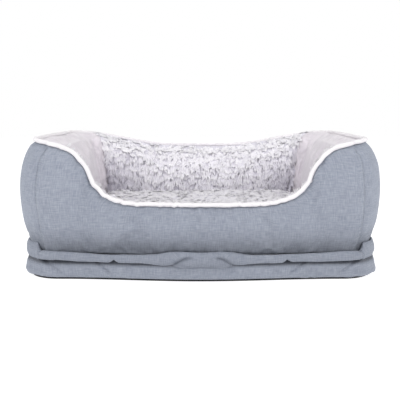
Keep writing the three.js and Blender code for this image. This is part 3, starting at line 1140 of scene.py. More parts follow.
    def _folds(self, grid: Points) -> Points:
        """Adds stuffing lumps, puckers at the seams and folds over the flap.

        Args:
            grid: The wall's smooth surface.

        Returns:
            The folded surface.
        """
        normal = self._outward(grid)
        rows, columns = grid.shape[:2]
        row = np.arange(rows)[:, None]
        across = run_lengths(grid)
        along = np.broadcast_to(self.fine_loop.along, (rows, columns))
        from_piping = np.abs(across - across[self.seam_row])
        outer = row < self.seam_row
        lumps, tucks, pulls = Ripple(11), Ripple(12), Ripple(13)
        out = 1.6 * lumps.rough(along / 85, across / 70, 2)
        tuck = np.where(outer, 1.5, 0.35) * tucks.rough(along / 17, across / 90, 2)
        pull = np.where(outer, 2.3, 0.4) * pulls.rough(along / 24, across / 120, 2)
        out = out + tuck * np.exp(-from_piping / 30)
        out = out + pull * np.exp(-across / 44)
        for column in self.fine_loop.seams:
            whole, half = self.fine_loop.length, self.fine_loop.length / 2
            away = np.abs((along - self.fine_loop.along[column] + half) % whole - half)
            depth = np.where(outer, 0.5, 1.5)
            out = out - depth * np.exp(-(away / 5) ** 2)
            pucker = Ripple(20 + column % 7).rough(across / 14, along / 40, 2)
            out = out + 2.1 * pucker * np.exp(-away / 18) * (1 - np.exp(-(away / 4) ** 2))
        at_entry = outer * (grid[..., 1] < 0) * (1 - smoothstep(150, 260, np.abs(grid[..., 0])))
        out = out + 2.2 * at_entry * Ripple(14).rough(along / 30, across / 160, 1) * np.exp(-from_piping / 55)
        calm = smoothstep(0, 9, from_piping)
        hold = smoothstep(0, 12, across) * smoothstep(0, 12, across[-1] - across)
        return grid + normal * (out * hold * (0.25 + 0.75 * calm))[..., None]

    def skin(self, side: Side, part: str, rows: slice, finish: Finish) -> None:
        """A sewn skin cut from the wall's surface, with its thickness inside it.

        Args:
            side: The chamber that it covers.
            part: The skin's word in the names of its piece and its CAD node.
            rows: The surface's rows that it takes.
            finish: Its cloth.
        """
        columns = self.fine_loop.columns(side)
        run = self.fine_loop.run(side)
        patch, across = self.grid[rows][:, columns], self.across[rows][:, columns]
        uv = np.stack(np.broadcast_arrays(run[None, :], across), axis=-1)
        faces = grid_faces(*patch.shape[:2])
        normal = self.normals[rows][0, columns[0]]
        if normal @ np.cross(patch[0, 1] - patch[0, 0], patch[1, 0] - patch[0, 0]) < 0:
            faces = [tuple(reversed(f)) for f in faces]
        obj = make_mesh(f"{side.label}_{part}_cloth", patch.reshape(-1, 3), faces, uv.reshape(-1, 2))
        apply_modifier(obj, "SOLIDIFY", thickness=CLOTH_THICKNESS * MM, offset=-1, use_even_offset=False)
        wear(obj, finish, self.body, f"{side.label}_{part}")
        LOG.info("%s: %s", obj.name, finish.name)

    def stuffing(self, side: Side) -> None:
        """The fibre filling of one chamber, just inside its skins.

        Args:
            side: The chamber.
        """
        name = f"{side.label}_stuffing_fill"
        columns = self.fine_loop.columns(side)[2:-2:2]
        patch = (self.grid - self.normals * self.filling_inset)[::2][:, columns]
        patch[0, :, 2] = patch[-1, :, 2] = self.foot + 0.6
        patch[1, :, 2] = np.maximum(patch[1, :, 2], self.foot + 1.5)
        patch[-2, :, 2] = np.maximum(patch[-2, :, 2], self.foot + 1.5)
        rows, count = patch.shape[:2]
        faces = grid_faces(rows, count)
        last = (rows - 1) * count
        faces += [(last + c, last + c + 1, c + 1, c) for c in range(count - 1)]
        obj = make_mesh(name, patch.reshape(-1, 3), faces)
        self._close_ends(obj)
        face_outwards(obj)
        wear(obj, WADDING, self.body, f"{side.label}_stuffing")
        LOG.info("%s: filling", name)

    @staticmethod
    def _close_ends(obj: bpy.types.Object) -> None:
        """Fills the two open ends of a chamber's filling.

        Args:
            obj: The filling.
        """
        bm = bmesh.new()
        bm.from_mesh(obj.data)
        bmesh.ops.holes_fill(bm, edges=[e for e in bm.edges if e.is_boundary])
        bmesh.ops.triangulate(bm, faces=[f for f in bm.faces if len(f.verts) > 4])
        bm.to_mesh(obj.data)
        bm.free()

    def piping_line(self) -> tuple[Points, Points]:
        """The piping's centre line all round the bed, and the way it faces.

        Returns:
            The line's points and its outward directions.
        """
        at = self.grid[self.seam_row]
        away = self.normals[self.seam_row - 1 : self.seam_row + 2].mean(axis=0)
        run = np.roll(at, -1, 0) - np.roll(at, 1, 0)
        run /= np.linalg.norm(run, axis=1, keepdims=True)
        away -= run * np.sum(away * run, axis=1, keepdims=True)
        away /= np.linalg.norm(away, axis=1, keepdims=True)
        wander = Ripple(31)
        along = self.fine_loop.along
        drift = 0.7 * wander.at(along / 34)[:, None] * np.cross(run, away)
        return at + away * (self.piping_radius + 0.6) + drift, away

    def piping(self, side: Side) -> None:
        """The piped cord cover on one chamber's seam.

        Args:
            side: The chamber.
        """
        name = f"{side.label}_piping_cover"
        line, away = self.piping_line()
        columns = self.fine_loop.columns(side)
        centre, out = line[columns], away[columns]
        tangent = np.gradient(centre, axis=0)
        tangent /= np.linalg.norm(tangent, axis=1, keepdims=True)
        out = out - tangent * np.sum(out * tangent, axis=1, keepdims=True)
        out /= np.linalg.norm(out, axis=1, keepdims=True)
        cross = np.cross(tangent, out)
        run = self.fine_loop.run(side)
        angle = np.arange(self.piping_around) / self.piping_around * 2 * math.pi
        radius = self.piping_radius * (1 + 0.05 * Ripple(32).rough(run / 7))[:, None, None]
        ring = out[:, None] * np.cos(angle)[None, :, None] + cross[:, None] * np.sin(angle)[None, :, None]
        points = centre[:, None] + ring * radius
        uv = np.stack(np.broadcast_arrays(run[:, None], angle[None] * self.piping_radius), axis=-1)
        obj = closed_tube(name, points, uv)
        wear(obj, PIPING_CLOTH, self.body, f"{side.label}_piping")
        LOG.info("%s: piping", name)


# ---------------------------------------------------------------------------------------------
# The folded flap
# ---------------------------------------------------------------------------------------------
@dataclass
class FoldedFlap:
    """The folded strip of outer cloth at the foot of the wall, over the base zip.

    Attributes:
        around: Number of points round the fold's outline.
        slim: Outline of the flat fold of the front and back, as inset and share of its height.
        full: Outline of the fuller roll of the sides.
        roll: Heights of the roll's lower and upper edge.
        back_fold: Heights of the back fold's edges.
        front_edges: Distances from the middle of the front, with the fold's lower and upper edge.
        notch: Where the front fold's lower edge is pulled up.
        twist: Half the length of the twist in the middle of the front.
    """

    loop: Loop
    body: str = "bed"
    around: int = 34
    slim: tuple[tuple[float, float], ...] = (
        (3, 0.02), (-3.5, -0.02), (-7.4, 0.06), (-7.6, 0.4), (-6.2, 0.8), (-2.6, 1), (3, 0.98), (5.4, 0.5))
    full: tuple[tuple[float, float], ...] = (
        (9, 0.02), (5.2, 0), (3.0, 0.25), (3.3, 0.66), (6, 0.95), (9, 1), (11, 0.66), (10.8, 0.3))
    roll: tuple[float, float] = (40.0, 70.0)
    back_fold: tuple[float, float] = (36.0, 51.0)
    front_edges: tuple[tuple[float, float, float], ...] = (
        (0, 31.6, 57.0), (35, 31.2, 59.0), (58, 32.4, 58.6), (82, 35.0, 54.0), (110, 37.0, 52.6),
        (166, 37.6, 52.0), (232, 38.4, 54.0), (291, 41.5, 57.0), (340, 42.5, 57.5))
    notch: float = 162.0
    twist: float = 60.0

    def build(self) -> None:
        """Makes and dresses the four lengths of flap."""
        grid = self.shape()
        for side in Side:
            self.length(side, grid)

    def _outline(self, points: tuple[tuple[float, float], ...]) -> Points:
        """A closed outline through the points, spread evenly by its height in millimetres.

        Args:
            points: Insets and shares of the height.

        Returns:
            Rows of inset and share.
        """
        tall = [(inset, 20 * share) for inset, share in points]
        looped = spline([tall[-1], *tall, tall[0], tall[1]], 12 * (len(tall) + 2) + 1)
        closed = looped[12 : 12 * (len(tall) + 1) + 1]
        return respaced(closed, self.around + 1)[:-1] / [1, 20]

    def shape(self) -> Points:
        """The flap's surface as a grid, with its folds.

        Returns:
            Points as [place round the fold, column, xyz].
        """
        laps, along = self.loop.laps, self.loop.along
        share = side_share(laps, 0.09, 0.09)[None, :]
        slim, full = self._outline(self.slim)[:, None], self._outline(self.full)[:, None]
        plan = BASE_PLAN.at(laps)
        x, front = plan[:, 0], plan[:, 1] < 0
        at_front = front * (1 - share[0])
        edges = np.array(self.front_edges)
        low = np.where(front, np.interp(np.abs(x), edges[:, 0], edges[:, 1]), self.back_fold[0])
        high = np.where(front, np.interp(np.abs(x), edges[:, 0], edges[:, 2]), self.back_fold[1])
        edge, fold = Ripple(41), Ripple(42)
        low = low * (1 - share) + self.roll[0] * share + 0.9 * edge.rough(along / 55, 3.1, 2)
        high = high * (1 - share) + self.roll[1] * share + 0.8 * edge.rough(along / 42, 9.4, 3)
        part = slim[..., 1] * (1 - share) + full[..., 1] * share
        inset = slim[..., 0] * (1 - share) + full[..., 0] * share
        end = np.exp(-(np.min([np.abs(laps - lap) for lap in SEAM_LAPS], axis=0) / 0.012) ** 2) * 0.35
        z = low + (high - low) * (part + (0.5 - part) * end)
        outer = smoothstep(4.5, -2.0, slim[..., 0] + 0 * share)
        swell = 0.9 * fold.rough((along[None] + 1.3 * z) / 19, z / 26, 2)
        reach = np.abs(x - 4)
        near = smoothstep(10, 32, reach) * (1 - smoothstep(self.twist, self.twist + 16, reach)) * at_front
        valley = 47.5 - 15.0 * smoothstep(self.twist - 32, self.twist + 6, reach)
        swell = swell - 7.0 * near * bump_at(z, valley, 3.0) + 4.5 * near * smoothstep(valley, valley - 13, z)
        z = z + 6.0 * bump_at(np.abs(x), self.notch, 6.0) * at_front * smoothstep(0.55, 0.0, part)
        plan = inset_points(np.broadcast_to(laps, z.shape), inset - swell * outer)
        return np.concatenate([plan, z[..., None]], axis=2)

    def length(self, side: Side, grid: Points) -> None:
        """One length of flap between two upright seams.

        Args:
            side: The chamber above it.
            grid: The flap's surface.
        """
        name = f"{side.label}_flap_fold"
        columns = self.loop.columns(side)
        patch = grid[:, columns].transpose(1, 0, 2)
        run = self.loop.run(side)
        around = run_lengths(patch.transpose(1, 0, 2)).T
        uv = np.stack(np.broadcast_arrays(run[:, None], around), axis=-1)
        obj = closed_tube(name, patch, uv)
        wear(obj, FLAP_CLOTH, self.body, f"{side.label}_flap")
        LOG.info("%s: folded flap", name)


# ---------------------------------------------------------------------------------------------
# The base
# ---------------------------------------------------------------------------------------------
@dataclass
class BaseMattress:
    """The quilted base: black grip cloth under a banded pad, closed by a floor panel.

    Attributes:
        loop: The columns that the base shares with the wall.
        body: The body that it rides on.
        band_rows: Number of rows of the band before they are doubled.
        profile: The band's curve from the floor up, as inset and height.
        puff: The band's simulation.
        zip_half: Half the length of back that the zip keeps flat.
        pad_inset: Depth of the filling under the band's surface.
        pad_levels: Heights of the filling's foot and top.
        tucked_up: How far the front swells above the turn under the flap.
        drags: Drag folds of the front, as place, height of the top, slope and depth.
    """

    loop: Loop
    body: str = "bed"
    band_rows: int = 12
    profile: tuple[tuple[float, float], ...] = (
        (12, 3.4), (2.5, 5.5), (0.5, 11), (3, 20), (5, 29), (9, 39), (13, 50))
    puff: Puff = field(default_factory=lambda: Puff(pressure=3.0, slack=0.01, cap=3.5))
    zip_half: float = 275.0
    pad_inset: float = 4.8
    pad_levels: tuple[float, float] = (3.9, 49.9)
    tucked_up: float = 5.0
    drags: tuple[tuple[float, float, float, float], ...] = (
        (198, 37, 1.3, 4.0), (306, 42, 1.6, 3.6), (128, 37, -0.9, 2.2))

    def build(self) -> None:
        """Makes and dresses the base's pieces."""
        self.shape()
        self.band()
        self.pad()
        self.floor()
        self.underside()

    def ring(self, laps: Points, inset: float, z: float) -> Points:
        """An outline moved in and set at a height.

        Args:
            laps: Lap positions.
            inset: Distance in.
            z: Height.

        Returns:
            Rows of x, y and z in millimetres.
        """
        plan = BASE_PLAN.shrunk(inset).at(laps)
        return np.concatenate([plan, np.full((len(plan), 1), z)], axis=1)

    def cap(self, edge: Points, rows: int) -> Points:
        """Rings from an edge in towards the middle of the base.

        Args:
            edge: The ring at the edge.
            rows: How many rings to add.

        Returns:
            Points as [ring, place in the ring, xyz].
        """
        shares = np.linspace(1, 0.04, rows + 1)[1:]
        return np.stack([edge * [s, s, 0] + [0, 0, edge[0, 2]] for s in shares])

    def shape(self) -> None:
        """Swells the closed pad and adds the band's folds."""
        laps = self.loop.laps
        line = respaced(spline(list(self.profile), 80), self.band_rows + 1)
        band = np.stack([self.ring(laps, inset, z) for inset, z in line])
        x, y = np.abs(band[..., 0]), band[..., 1]
        behind = (1 - smoothstep(self.zip_half - 3, self.zip_half + 7, x)) * (y > 0)
        upright = behind * smoothstep(8, 14, band[..., 2]) * (1 - smoothstep(36, 42, band[..., 2]))
        band[..., 1] += upright * (BASE_PLAN.back - 0.2 - band[..., 1])
        bottom, top = self.cap(band[0], 5)[::-1], self.cap(band[-1], 5)
        points = np.concatenate([bottom, band, top])
        columns = len(laps)
        foot, lid = end_faces(len(points), columns)
        faces = [*grid_faces(len(points), columns, True), foot[::-1], lid]
        held = np.ones(points.shape[:2])
        rows = slice(len(bottom) + 1, len(bottom) + self.band_rows)
        held[rows] = 0.0
        back = (np.abs(band[0, :, 0]) < self.zip_half + 6) & (band[0, :, 1] > 0)
        held[:, back] = 1.0
        moved = self.puff.run("base_cloth", points.reshape(-1, 3), faces, held.ravel()).reshape(points.shape)
        band = between_columns(between_rows(moved[len(bottom) : len(bottom) + self.band_rows + 1]))
        self.fine = self.loop.doubled()
        flat = between_columns(back[None, :, None] * 1.0)[0, :, 0]
        self.grid = self._folds(band, flat)

    @staticmethod
    def _outward(grid: Points) -> Points:
        """Normals that point out of the pad.

        Args:
            grid: The band's surface.

        Returns:
            One normal for each point.
        """
        normal = grid_normals(grid, True)
        return -normal if normal[len(grid) // 2, 0, 1] > 0 else normal

    def _folds(self, grid: Points, zip_side: Points) -> Points:
        """Adds diagonal drag folds where the band turns under the flap.

        Args:
            grid: The band's smooth surface.
            zip_side: 1 at the columns that the zip keeps flat.

        Returns:
            The folded surface.
        """
        normal = self._outward(grid)
        across = run_lengths(grid)
        along = np.broadcast_to(self.fine.along, across.shape)
        x = grid[..., 0]
        fold, lump = Ripple(51), Ripple(52)
        lean = np.where(x > 0, 1, -1)
        ridges = fold.rough((along + 1.5 * lean * across) / 19, across / 45, 2)
        at_front = grid[..., 1] < 0
        near = 0.35 + 0.9 * (bump_at(np.abs(x), 196, 30) + bump_at(np.abs(x), 318, 34)) * at_front
        out = 1.3 * ridges * near + 1.0 * lump.rough(along / 60, across / 40, 2)
        z = grid[..., 2]
        out = out + self.tucked_up * at_front * (1 - smoothstep(285, 330, np.abs(x))) * bump_at(z, 31, 8)
        for place, top, slope, depth in self.drags:
            line = (np.abs(x) - place) + (top - z) * slope
            drag = depth * at_front * (0.7 * bump_at(line, 9, 7) - bump_at(line, 0, 4))
            out = out + drag * smoothstep(8, 22, z)
        ends = smoothstep(0, 9, across) * smoothstep(0, 6, across[-1] - across)
        return grid + normal * (out * ends * (1 - np.clip(zip_side, 0, 1)))[..., None]

    def band(self) -> None:
        """The strip of outer cloth round the base."""
        grid = np.concatenate([self.grid, self.grid[:, :1]], axis=1)
        along = np.append(self.fine.along, self.fine.length)
        uv = np.stack(np.broadcast_arrays(along[None], run_lengths(grid)), axis=-1)
        faces = grid_faces(*grid.shape[:2])
        obj = make_mesh("base_band_cloth", grid.reshape(-1, 3), faces, uv.reshape(-1, 2))
        if obj.data.polygons[5].normal.y > 0:
            obj.data.flip_normals()
        apply_modifier(obj, "WELD", merge_threshold=0.01 * MM)
        apply_modifier(obj, "SOLIDIFY", thickness=CLOTH_THICKNESS * MM, offset=-1)
        wear(obj, BASE_CLOTH, self.body, "base_band")
        LOG.info("base_band_cloth: band round the base")

    def pad(self) -> None:
        """The quilted filling of the base."""
        edge = (self.grid - self._outward(self.grid) * self.pad_inset)[::2, ::2]
        edge[0, :, 2], edge[-1, :, 2] = self.pad_levels
        points = np.concatenate([self.cap(edge[0], 5)[::-1], edge, self.cap(edge[-1], 5)])
        obj = closed_tube("base_pad_fill", points)
        wear(obj, WADDING, self.body, "base_pad")
        LOG.info("base_pad_fill: quilted pad")

    def plate(self, name: str, inset: float, low: float, high: float, edge: float) -> bpy.types.Object:
        """A thin level sheet with a rounded edge.

        Args:
            name: The piece's name.
            inset: Distance in from the base's outline.
            low: Height of its underside.
            high: Height of its top.
            edge: Radius of its edge.

        Returns:
            The piece.
        """
        levels = [(inset + edge, low), (inset, low + edge), (inset, high - edge), (inset + edge, high)]
        rings = np.stack([self.ring(self.loop.laps, i, z) for i, z in levels])
        points = np.concatenate([self.cap(rings[0], 8)[::-1], rings, self.cap(rings[-1], 8)])
        obj = closed_tube(name, points, points[..., :2])
        return obj

    def floor(self) -> None:
        """The cloth that closes the pad's top, under the wall and the seat cushion."""
        obj = self.plate("floor_panel_cloth", inset=14, low=50.5, high=51.9, edge=0.4)
        wear(obj, OUTER_CLOTH, self.body, "floor_panel")
        LOG.info("floor_panel_cloth: top of the base")

    def underside(self) -> None:
        """The black grip cloth under the base."""
        obj = self.plate("underside_grip_cloth", inset=12, low=0.0, high=3.0, edge=0.9)
        wear(obj, GRIP_CLOTH, self.body, "underside_panel")
        LOG.info("underside_grip_cloth: underside")


# ---------------------------------------------------------------------------------------------
# Pile
# ---------------------------------------------------------------------------------------------
@dataclass(frozen=True)
class Pile:
    """Tapered, curved tufts of plush standing on a surface.

    Attributes:
        length: Length of a tuft in millimetres.
        width: Its width at its fullest.
        lift: How much of it stands up from the ground.
        lean: How much of it lies along the ground.
        spread: How far its direction strays, in radians.
        strands: How many strands make a tuft.
        matting: How far the pile takes light as one soft surface, from 0 to 1.
        sunk: How deep a tuft's root is sunk in the ground.
    """

    length: float = 16.0
    width: float = 4.7
    lift: float = 0.34
    lean: float = 0.85
    spread: float = 0.24
    strands: int = 4
    matting: float = 0.78
    sunk: float = 0.8

    def grow(self, name: str, roots: Points, normals: Points, lay: Points, seed: int,
             reach: Points | float = 1.0, grey: Points | float = 0.0) -> bpy.types.Object:
        """Grows one piece of pile.

        Args:
            name: The piece's name.
            roots: Where each tuft stands.
            normals: The ground's normal there.
            lay: The direction that the pile is combed.
            seed: Seed of its random draws.
            reach: Share of the length that each tuft has.
            grey: Painted shade: how much darker each tuft is drawn where shade falls.

        Returns:
            The piece.
        """
        draw = np.random.default_rng(seed)
        locks = draw.normal(0, 1, (6, len(roots)))
        roots, normals, lay = (np.repeat(values, self.strands, axis=0) for values in (roots, normals, lay))
        reach = np.repeat(np.broadcast_to(np.asarray(reach, float), locks.shape[1:]), self.strands)[:, None]
        locks = np.repeat(locks, self.strands, axis=1)
        count = len(roots)
        side = np.cross(normals, lay)
        side /= np.maximum(np.linalg.norm(side, axis=1, keepdims=True), 1e-6)
        comb = np.cross(side, normals)
        offset = draw.normal(0, 0.42 * self.width, (2, count))[:, :, None]
        roots = roots + side * offset[0] + comb * offset[1]
        turn = (self.spread * locks[0] + 0.22 * draw.normal(0, 1, count))[:, None]
        way = comb * np.cos(turn) + side * np.sin(turn)
        curl = side * np.cos(turn) - comb * np.sin(turn)
        share = np.clip(1 + 0.2 * locks[1] + 0.08 * draw.normal(0, 1, count), 0.5, 1.6)[:, None]
        long = self.length * share * reach
        wide = self.width * (0.7 + 0.5 * draw.random(count))[:, None]
        bend = (0.1 * locks[2] + 0.07 * draw.normal(0, 1, count))[:, None]
        rise = self.lift * np.clip(1 + 0.25 * locks[3], 0.5, 1.6)[:, None]
        path, size = [], (0.8, 1.0, 0.72)
        for t in (0.0, 0.4, 0.78, 1.0):
            up, out = t * (1.35 - 0.55 * t * t), t * t * 0.75 + 0.25 * t
            base = roots - normals * self.sunk + normals * long * rise * up
            path.append(base + way * long * self.lean * out + curl * long * bend * t * t)
        verts, reach_colour = [], []
        for i, share in enumerate(size):
            along = path[i + 1] - path[i]
            along /= np.linalg.norm(along, axis=1, keepdims=True)
            face = normals - along * np.sum(normals * along, axis=1, keepdims=True)
            face /= np.maximum(np.linalg.norm(face, axis=1, keepdims=True), 1e-6)
            flank = np.cross(along, face)
            for angle in (math.pi / 2, math.pi * 7 / 6, math.pi * 11 / 6):
                rim = flank * math.cos(angle) * 0.5 + face * math.sin(angle) * 0.32
                verts.append(path[i] + wide * share * rim)
                reach_colour.append(np.full(count, (0.0, 0.42, 0.8)[i]))
        verts.append(path[3])
        reach_colour.append(np.ones(count))
        points = np.stack(verts, axis=1)
        tuft = [(0, 1, 2)]
        for ring in (0, 3):
            tuft += [(ring + k, ring + 3 + k, ring + 3 + (k + 1) % 3, ring + (k + 1) % 3) for k in range(3)]
        tuft += [(6 + k, 9, 6 + (k + 1) % 3) for k in range(3)]
        faces = [tuple(v + 10 * i for v in f) for i in range(count) for f in tuft]
        obj = make_mesh(name, points.reshape(-1, 3), faces)
        colour = np.ones((count, points.shape[1], 4))
        colour[..., 0] = 1 - (1 - np.stack(reach_colour, axis=1)) * np.clip(2 * reach - 0.9, 0, 1)
        # Painted shade: tufts with a grey share are drawn darker and nearer the root colour.
        painted_shade = np.repeat(np.broadcast_to(grey, (count // self.strands,)), self.strands)[:, None]
        tone = (0.5 + 0.3 * locks[4] + 0.05 * draw.normal(0, 1, count))[:, None]
        colour[..., 0] *= 1 - 0.45 * painted_shade
        colour[..., 1] = np.clip(tone - 0.6 * painted_shade, 0, 1)
        own = np.zeros(count * 30)
        obj.data.vertices.foreach_get("normal", own)
        soft = self.matting * np.repeat(normals, 10, axis=0) + (1 - self.matting) * own.reshape(-1, 3)
        soft /= np.maximum(np.linalg.norm(soft, axis=1, keepdims=True), 1e-6)
        obj.data.normals_split_custom_set_from_vertices(soft.tolist())
        layer = obj.data.attributes.new("pile", "FLOAT_COLOR", "POINT")
        layer.data.foreach_set("color", colour.ravel())
        PLUSH.dress(obj)
        return obj


def scatter(
    grid: Points, normals: Points, count: int, seed: int, density: Points | None = None
) -> tuple[Points, Points, Points]:
    """Random places on a grid surface, even in area.

    Args:
        grid: The surface's points.
        normals: Its normals.
        count: How many places.
        seed: Seed of the draw.
        density: Relative density at each point.

    Returns:
        The places, the normals there and the row positions.
    """
    draw = np.random.default_rng(seed)
    a, b, c, d = grid[:-1, :-1], grid[:-1, 1:], grid[1:, :-1], grid[1:, 1:]
    area = np.linalg.norm(np.cross(d - a, b - c), axis=2) / 2
    if density is not None:
        area = area * density[:-1, :-1]
    chance = (area / area.sum()).ravel()
    pick = draw.choice(len(chance), count, p=chance)
    i, j = np.divmod(pick, area.shape[1])
    u, v = draw.random(count)[:, None], draw.random(count)[:, None]

    def blended(values: Points) -> Points:
        """The grid's values at the places, from the four points round each.

        Args:
            values: Values on the grid.

        Returns:
            One value for each place.
        """
        left = values[i, j] * (1 - u) + values[i + 1, j] * u
        right = values[i, j + 1] * (1 - u) + values[i + 1, j + 1] * u
        return left * (1 - v) + right * v

    normal = blended(normals)
    return blended(grid), normal / np.linalg.norm(normal, axis=1, keepdims=True), i + u[:, 0]


@dataclass
class WallPile:
    """The plush on the back wall, and the short pile that peeps over the front entry."""

    wall: BolsterWall
    back_tufts: int = 3000
    front_tufts: int = 900

    def build(self) -> None:
        """Grows the back wall's pile and the entry's fringe."""
        self.back()
        self.entry()

    def back(self) -> None:
        """The long pile of the back wall, combed down, with painted shade that greys it low in its corners.
        """
        wall = self.wall
        rows, columns = slice(wall.seam_row + 4, -8), wall.fine_loop.columns(Side.BACK)
        grid, normals = wall.grid[rows][:, columns], wall.normals[rows][:, columns]
        roots, up, row = scatter(grid, normals, self.back_tufts, 61)
        down = np.broadcast_to([0.0, -0.15, -1.0], roots.shape)
        reach = 0.6 + 0.4 * smoothstep(14, 36, row)
        # Painted shade: the pile is drawn greyer low in the corners and along the bottom of the back wall.
        corner = smoothstep(120, 232, np.abs(roots[:, 0]))
        grey = 0.85 * corner * smoothstep(215, 165, roots[:, 2]) + 0.15 * smoothstep(160, 125, roots[:, 2])
        obj = Pile().grow("back_lining_pile", roots, up, down, 62, reach, grey)
        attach(obj, wall.body)
        LOG.info("%s: %d tufts", obj.name, self.back_tufts)

    def entry(self) -> None:
        """The short fringe that peeps over the entry, thinner towards its ends."""
        wall = self.wall
        rows, columns = slice(wall.seam_row + 4, wall.seam_row + 16), wall.fine_loop.columns(Side.FRONT)
        grid, normals = wall.grid[rows][:, columns], wall.normals[rows][:, columns]
        low = 1 - smoothstep(215, 262, np.abs(grid[..., 0]))
        roots, up, _ = scatter(grid, normals, self.front_tufts, 63, low + 1e-6)
        inward = np.broadcast_to([0.0, 1.0, -0.4], roots.shape)
        reach = 0.5 + 0.3 * (1 - smoothstep(180, 250, np.abs(roots[:, 0])))
        fringe = Pile(length=14.0, width=3.4, lift=0.75, lean=0.35, spread=0.8)
        obj = fringe.grow("entry_edge_pile", roots, up, inward, 64, reach)
        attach(obj, wall.body)
        LOG.info("%s: %d tufts", obj.name, self.front_tufts)


# ---------------------------------------------------------------------------------------------
# The seat cushion
# ---------------------------------------------------------------------------------------------
@dataclass
class SeatCushion:
    """The loose plush cushion that lies in the well."""

    body: str = "seat_cushion"
    foot: float = 52.8
    top: float = 116.0
    voxel: float = 5.0
    around: int = 96
    tufts: int = 3100
    side_tufts: int = 1800
    puff: Puff = field(default_factory=lambda: Puff(pressure=4.0, slack=0.02, cap=9.0))

    def build(self) -> None:
        """Makes and dresses the cushion's pieces."""
        self.cover()
        self.stuffing()
        self.backing()
        self.pile()

    def solid(self, name: str, levels: list[tuple[float, float]]) -> bpy.types.Object:
        """A closed slab whose outline is moved in at each level.

        Args:
            name: The piece's name.
            levels: Inset and height of each ring, from the bottom up.

        Returns:
            The piece.
        """
        laps = np.linspace(0, 8, self.around + 1)[:-1]
        rings = []
        for inset, z in levels:
            plan = WELL_PLAN.shrunk(inset).at(laps)
            rings.append(np.concatenate([plan, np.full((len(laps), 1), z)], axis=1))
        return closed_tube(name, np.stack(rings))

    def stuffed(self, inset: float, foot: float, top: float) -> list[tuple[float, float]]:
        """Levels of a stuffed slab with rounded edges.

        Args:
            inset: Least distance in from the well's outline.
            foot: Height of its underside.
            top: Height of its top.

        Returns:
            Inset and height of each level.
        """
        return [(inset + 9, foot), (inset + 3, foot + 8), (inset + 1, foot + 20), (inset + 2, top - 24),
                (inset + 8, top - 12), (inset + 22, top - 6), (inset + 60, top - 3)]

    def cover(self) -> None:
        """The plush cover, swollen by its filling."""
        foot = self.foot + 2.2
        obj = self.solid("cushion_cover_cloth", self.stuffed(SEAT_CLEARANCE, foot, self.top))
        apply_modifier(obj, "REMESH", mode="VOXEL", voxel_size=self.voxel * MM)
        points = points_of(obj.data)
        faces = [tuple(p.vertices) for p in obj.data.polygons]
        held = np.where(points[:, 2] < foot + 4, 1.0, 0.0)
        moved = self.puff.run("cushion_cloth", points, faces, held)
        x, y = moved[:, 0] / SEAT_HIGH[0], moved[:, 1] / SEAT_HIGH[1]
        crown = 3.5 * np.clip(1 - x**2, 0, 1) * np.clip(1 - y**2, 0, 1)
        lump = Ripple(71).rough(moved[:, 0] / 75, moved[:, 1] / 75, 2) * 2.0
        moved[:, 2] += np.where(moved[:, 2] > self.top - 18, crown + lump, 0)
        obj.data.vertices.foreach_set("co", (moved * MM).ravel())
        obj.data.update()
        apply_modifier(obj, "SUBSURF", levels=1, render_levels=1)
        obj.data.polygons.foreach_set("use_smooth", [True] * len(obj.data.polygons))
        wear(obj, PLUSH_GROUND, self.body, "cushion_cover")
        self.cushion = obj
        LOG.info("cushion_cover_cloth: plush cover")

    def stuffing(self) -> None:
        """The filling, just inside the cover."""
        obj = self.solid("cushion_fill", self.stuffed(SEAT_CLEARANCE + 5, self.foot + 4.5, self.top - 6))
        apply_modifier(obj, "SUBSURF", levels=1, render_levels=1)
        wear(obj, WADDING, self.body, "cushion_stuffing")
        LOG.info("cushion_fill: filling")

    def backing(self) -> None:
        """The outer cloth on the cushion's underside."""
        inset, foot = SEAT_CLEARANCE + 9, self.foot
        levels = [(inset + 1, foot), (inset, foot + 0.7), (inset + 1, foot + 1.5)]
        obj = self.solid("cushion_backing_cloth", levels)
        uv = obj.data.uv_layers.new(name="cloth")
        points = points_of(obj.data) * MM
        loops = np.zeros(len(obj.data.loops), dtype=int)
        obj.data.loops.foreach_get("vertex_index", loops)
        uv.data.foreach_set("uv", points[loops][:, :2].ravel())
        wear(obj, OUTER_CLOTH, self.body, "cushion_backing")
        LOG.info("cushion_backing_cloth: underside")

    def pile(self) -> None:
        """The plush tufts on the cushion's top, in swirls, and on its sides, combed down."""
        height = np.array([p.center.z for p in self.cushion.data.polygons]) / MM
        facing = np.array([p.normal.z for p in self.cushion.data.polygons])
        upward = smoothstep(-0.1, 0.35, facing)
        self.tuft("cushion_pile", smoothstep(70, 92, height) * upward, self.tufts, 81)
        self.tuft("cushion_side_pile", smoothstep(58, 64, height) * (1 - upward), self.side_tufts, 84)

    def tuft(self, name: str, density: Points, count: int, seed: int) -> None:
        """One piece of the cushion's pile.

        Args:
            name: The piece's name.
            density: How thick the pile stands on each face of the cover.
            count: Number of tufts.
            seed: Seed of its random draws.
        """
        mesh = self.cushion.data
        draw = np.random.default_rng(seed)
        centre = np.array([p.center for p in mesh.polygons]) / MM
        normal = np.array([p.normal for p in mesh.polygons])
        chance = np.array([p.area for p in mesh.polygons]) * density
        pick = draw.choice(len(chance), count, p=chance / chance.sum())
        jitter = draw.uniform(-1.3, 1.3, (count, 3))
        jitter -= normal[pick] * np.sum(jitter * normal[pick], axis=1, keepdims=True)
        roots = centre[pick] + jitter
        angle = 2.2 * Ripple(82).at(roots[:, 0] / 70, roots[:, 1] / 70)
        lay = np.stack([np.sin(angle), -np.cos(angle), -8 * smoothstep(0.5, 0.1, normal[pick][:, 2])], axis=1)
        short = Pile(length=11.0, width=4.6, lift=0.34, lean=0.8, spread=0.8)
        obj = short.grow(name, roots, normal[pick], lay, seed + 2)
        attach(obj, self.body)
        LOG.info("%s: %d tufts", name, count)


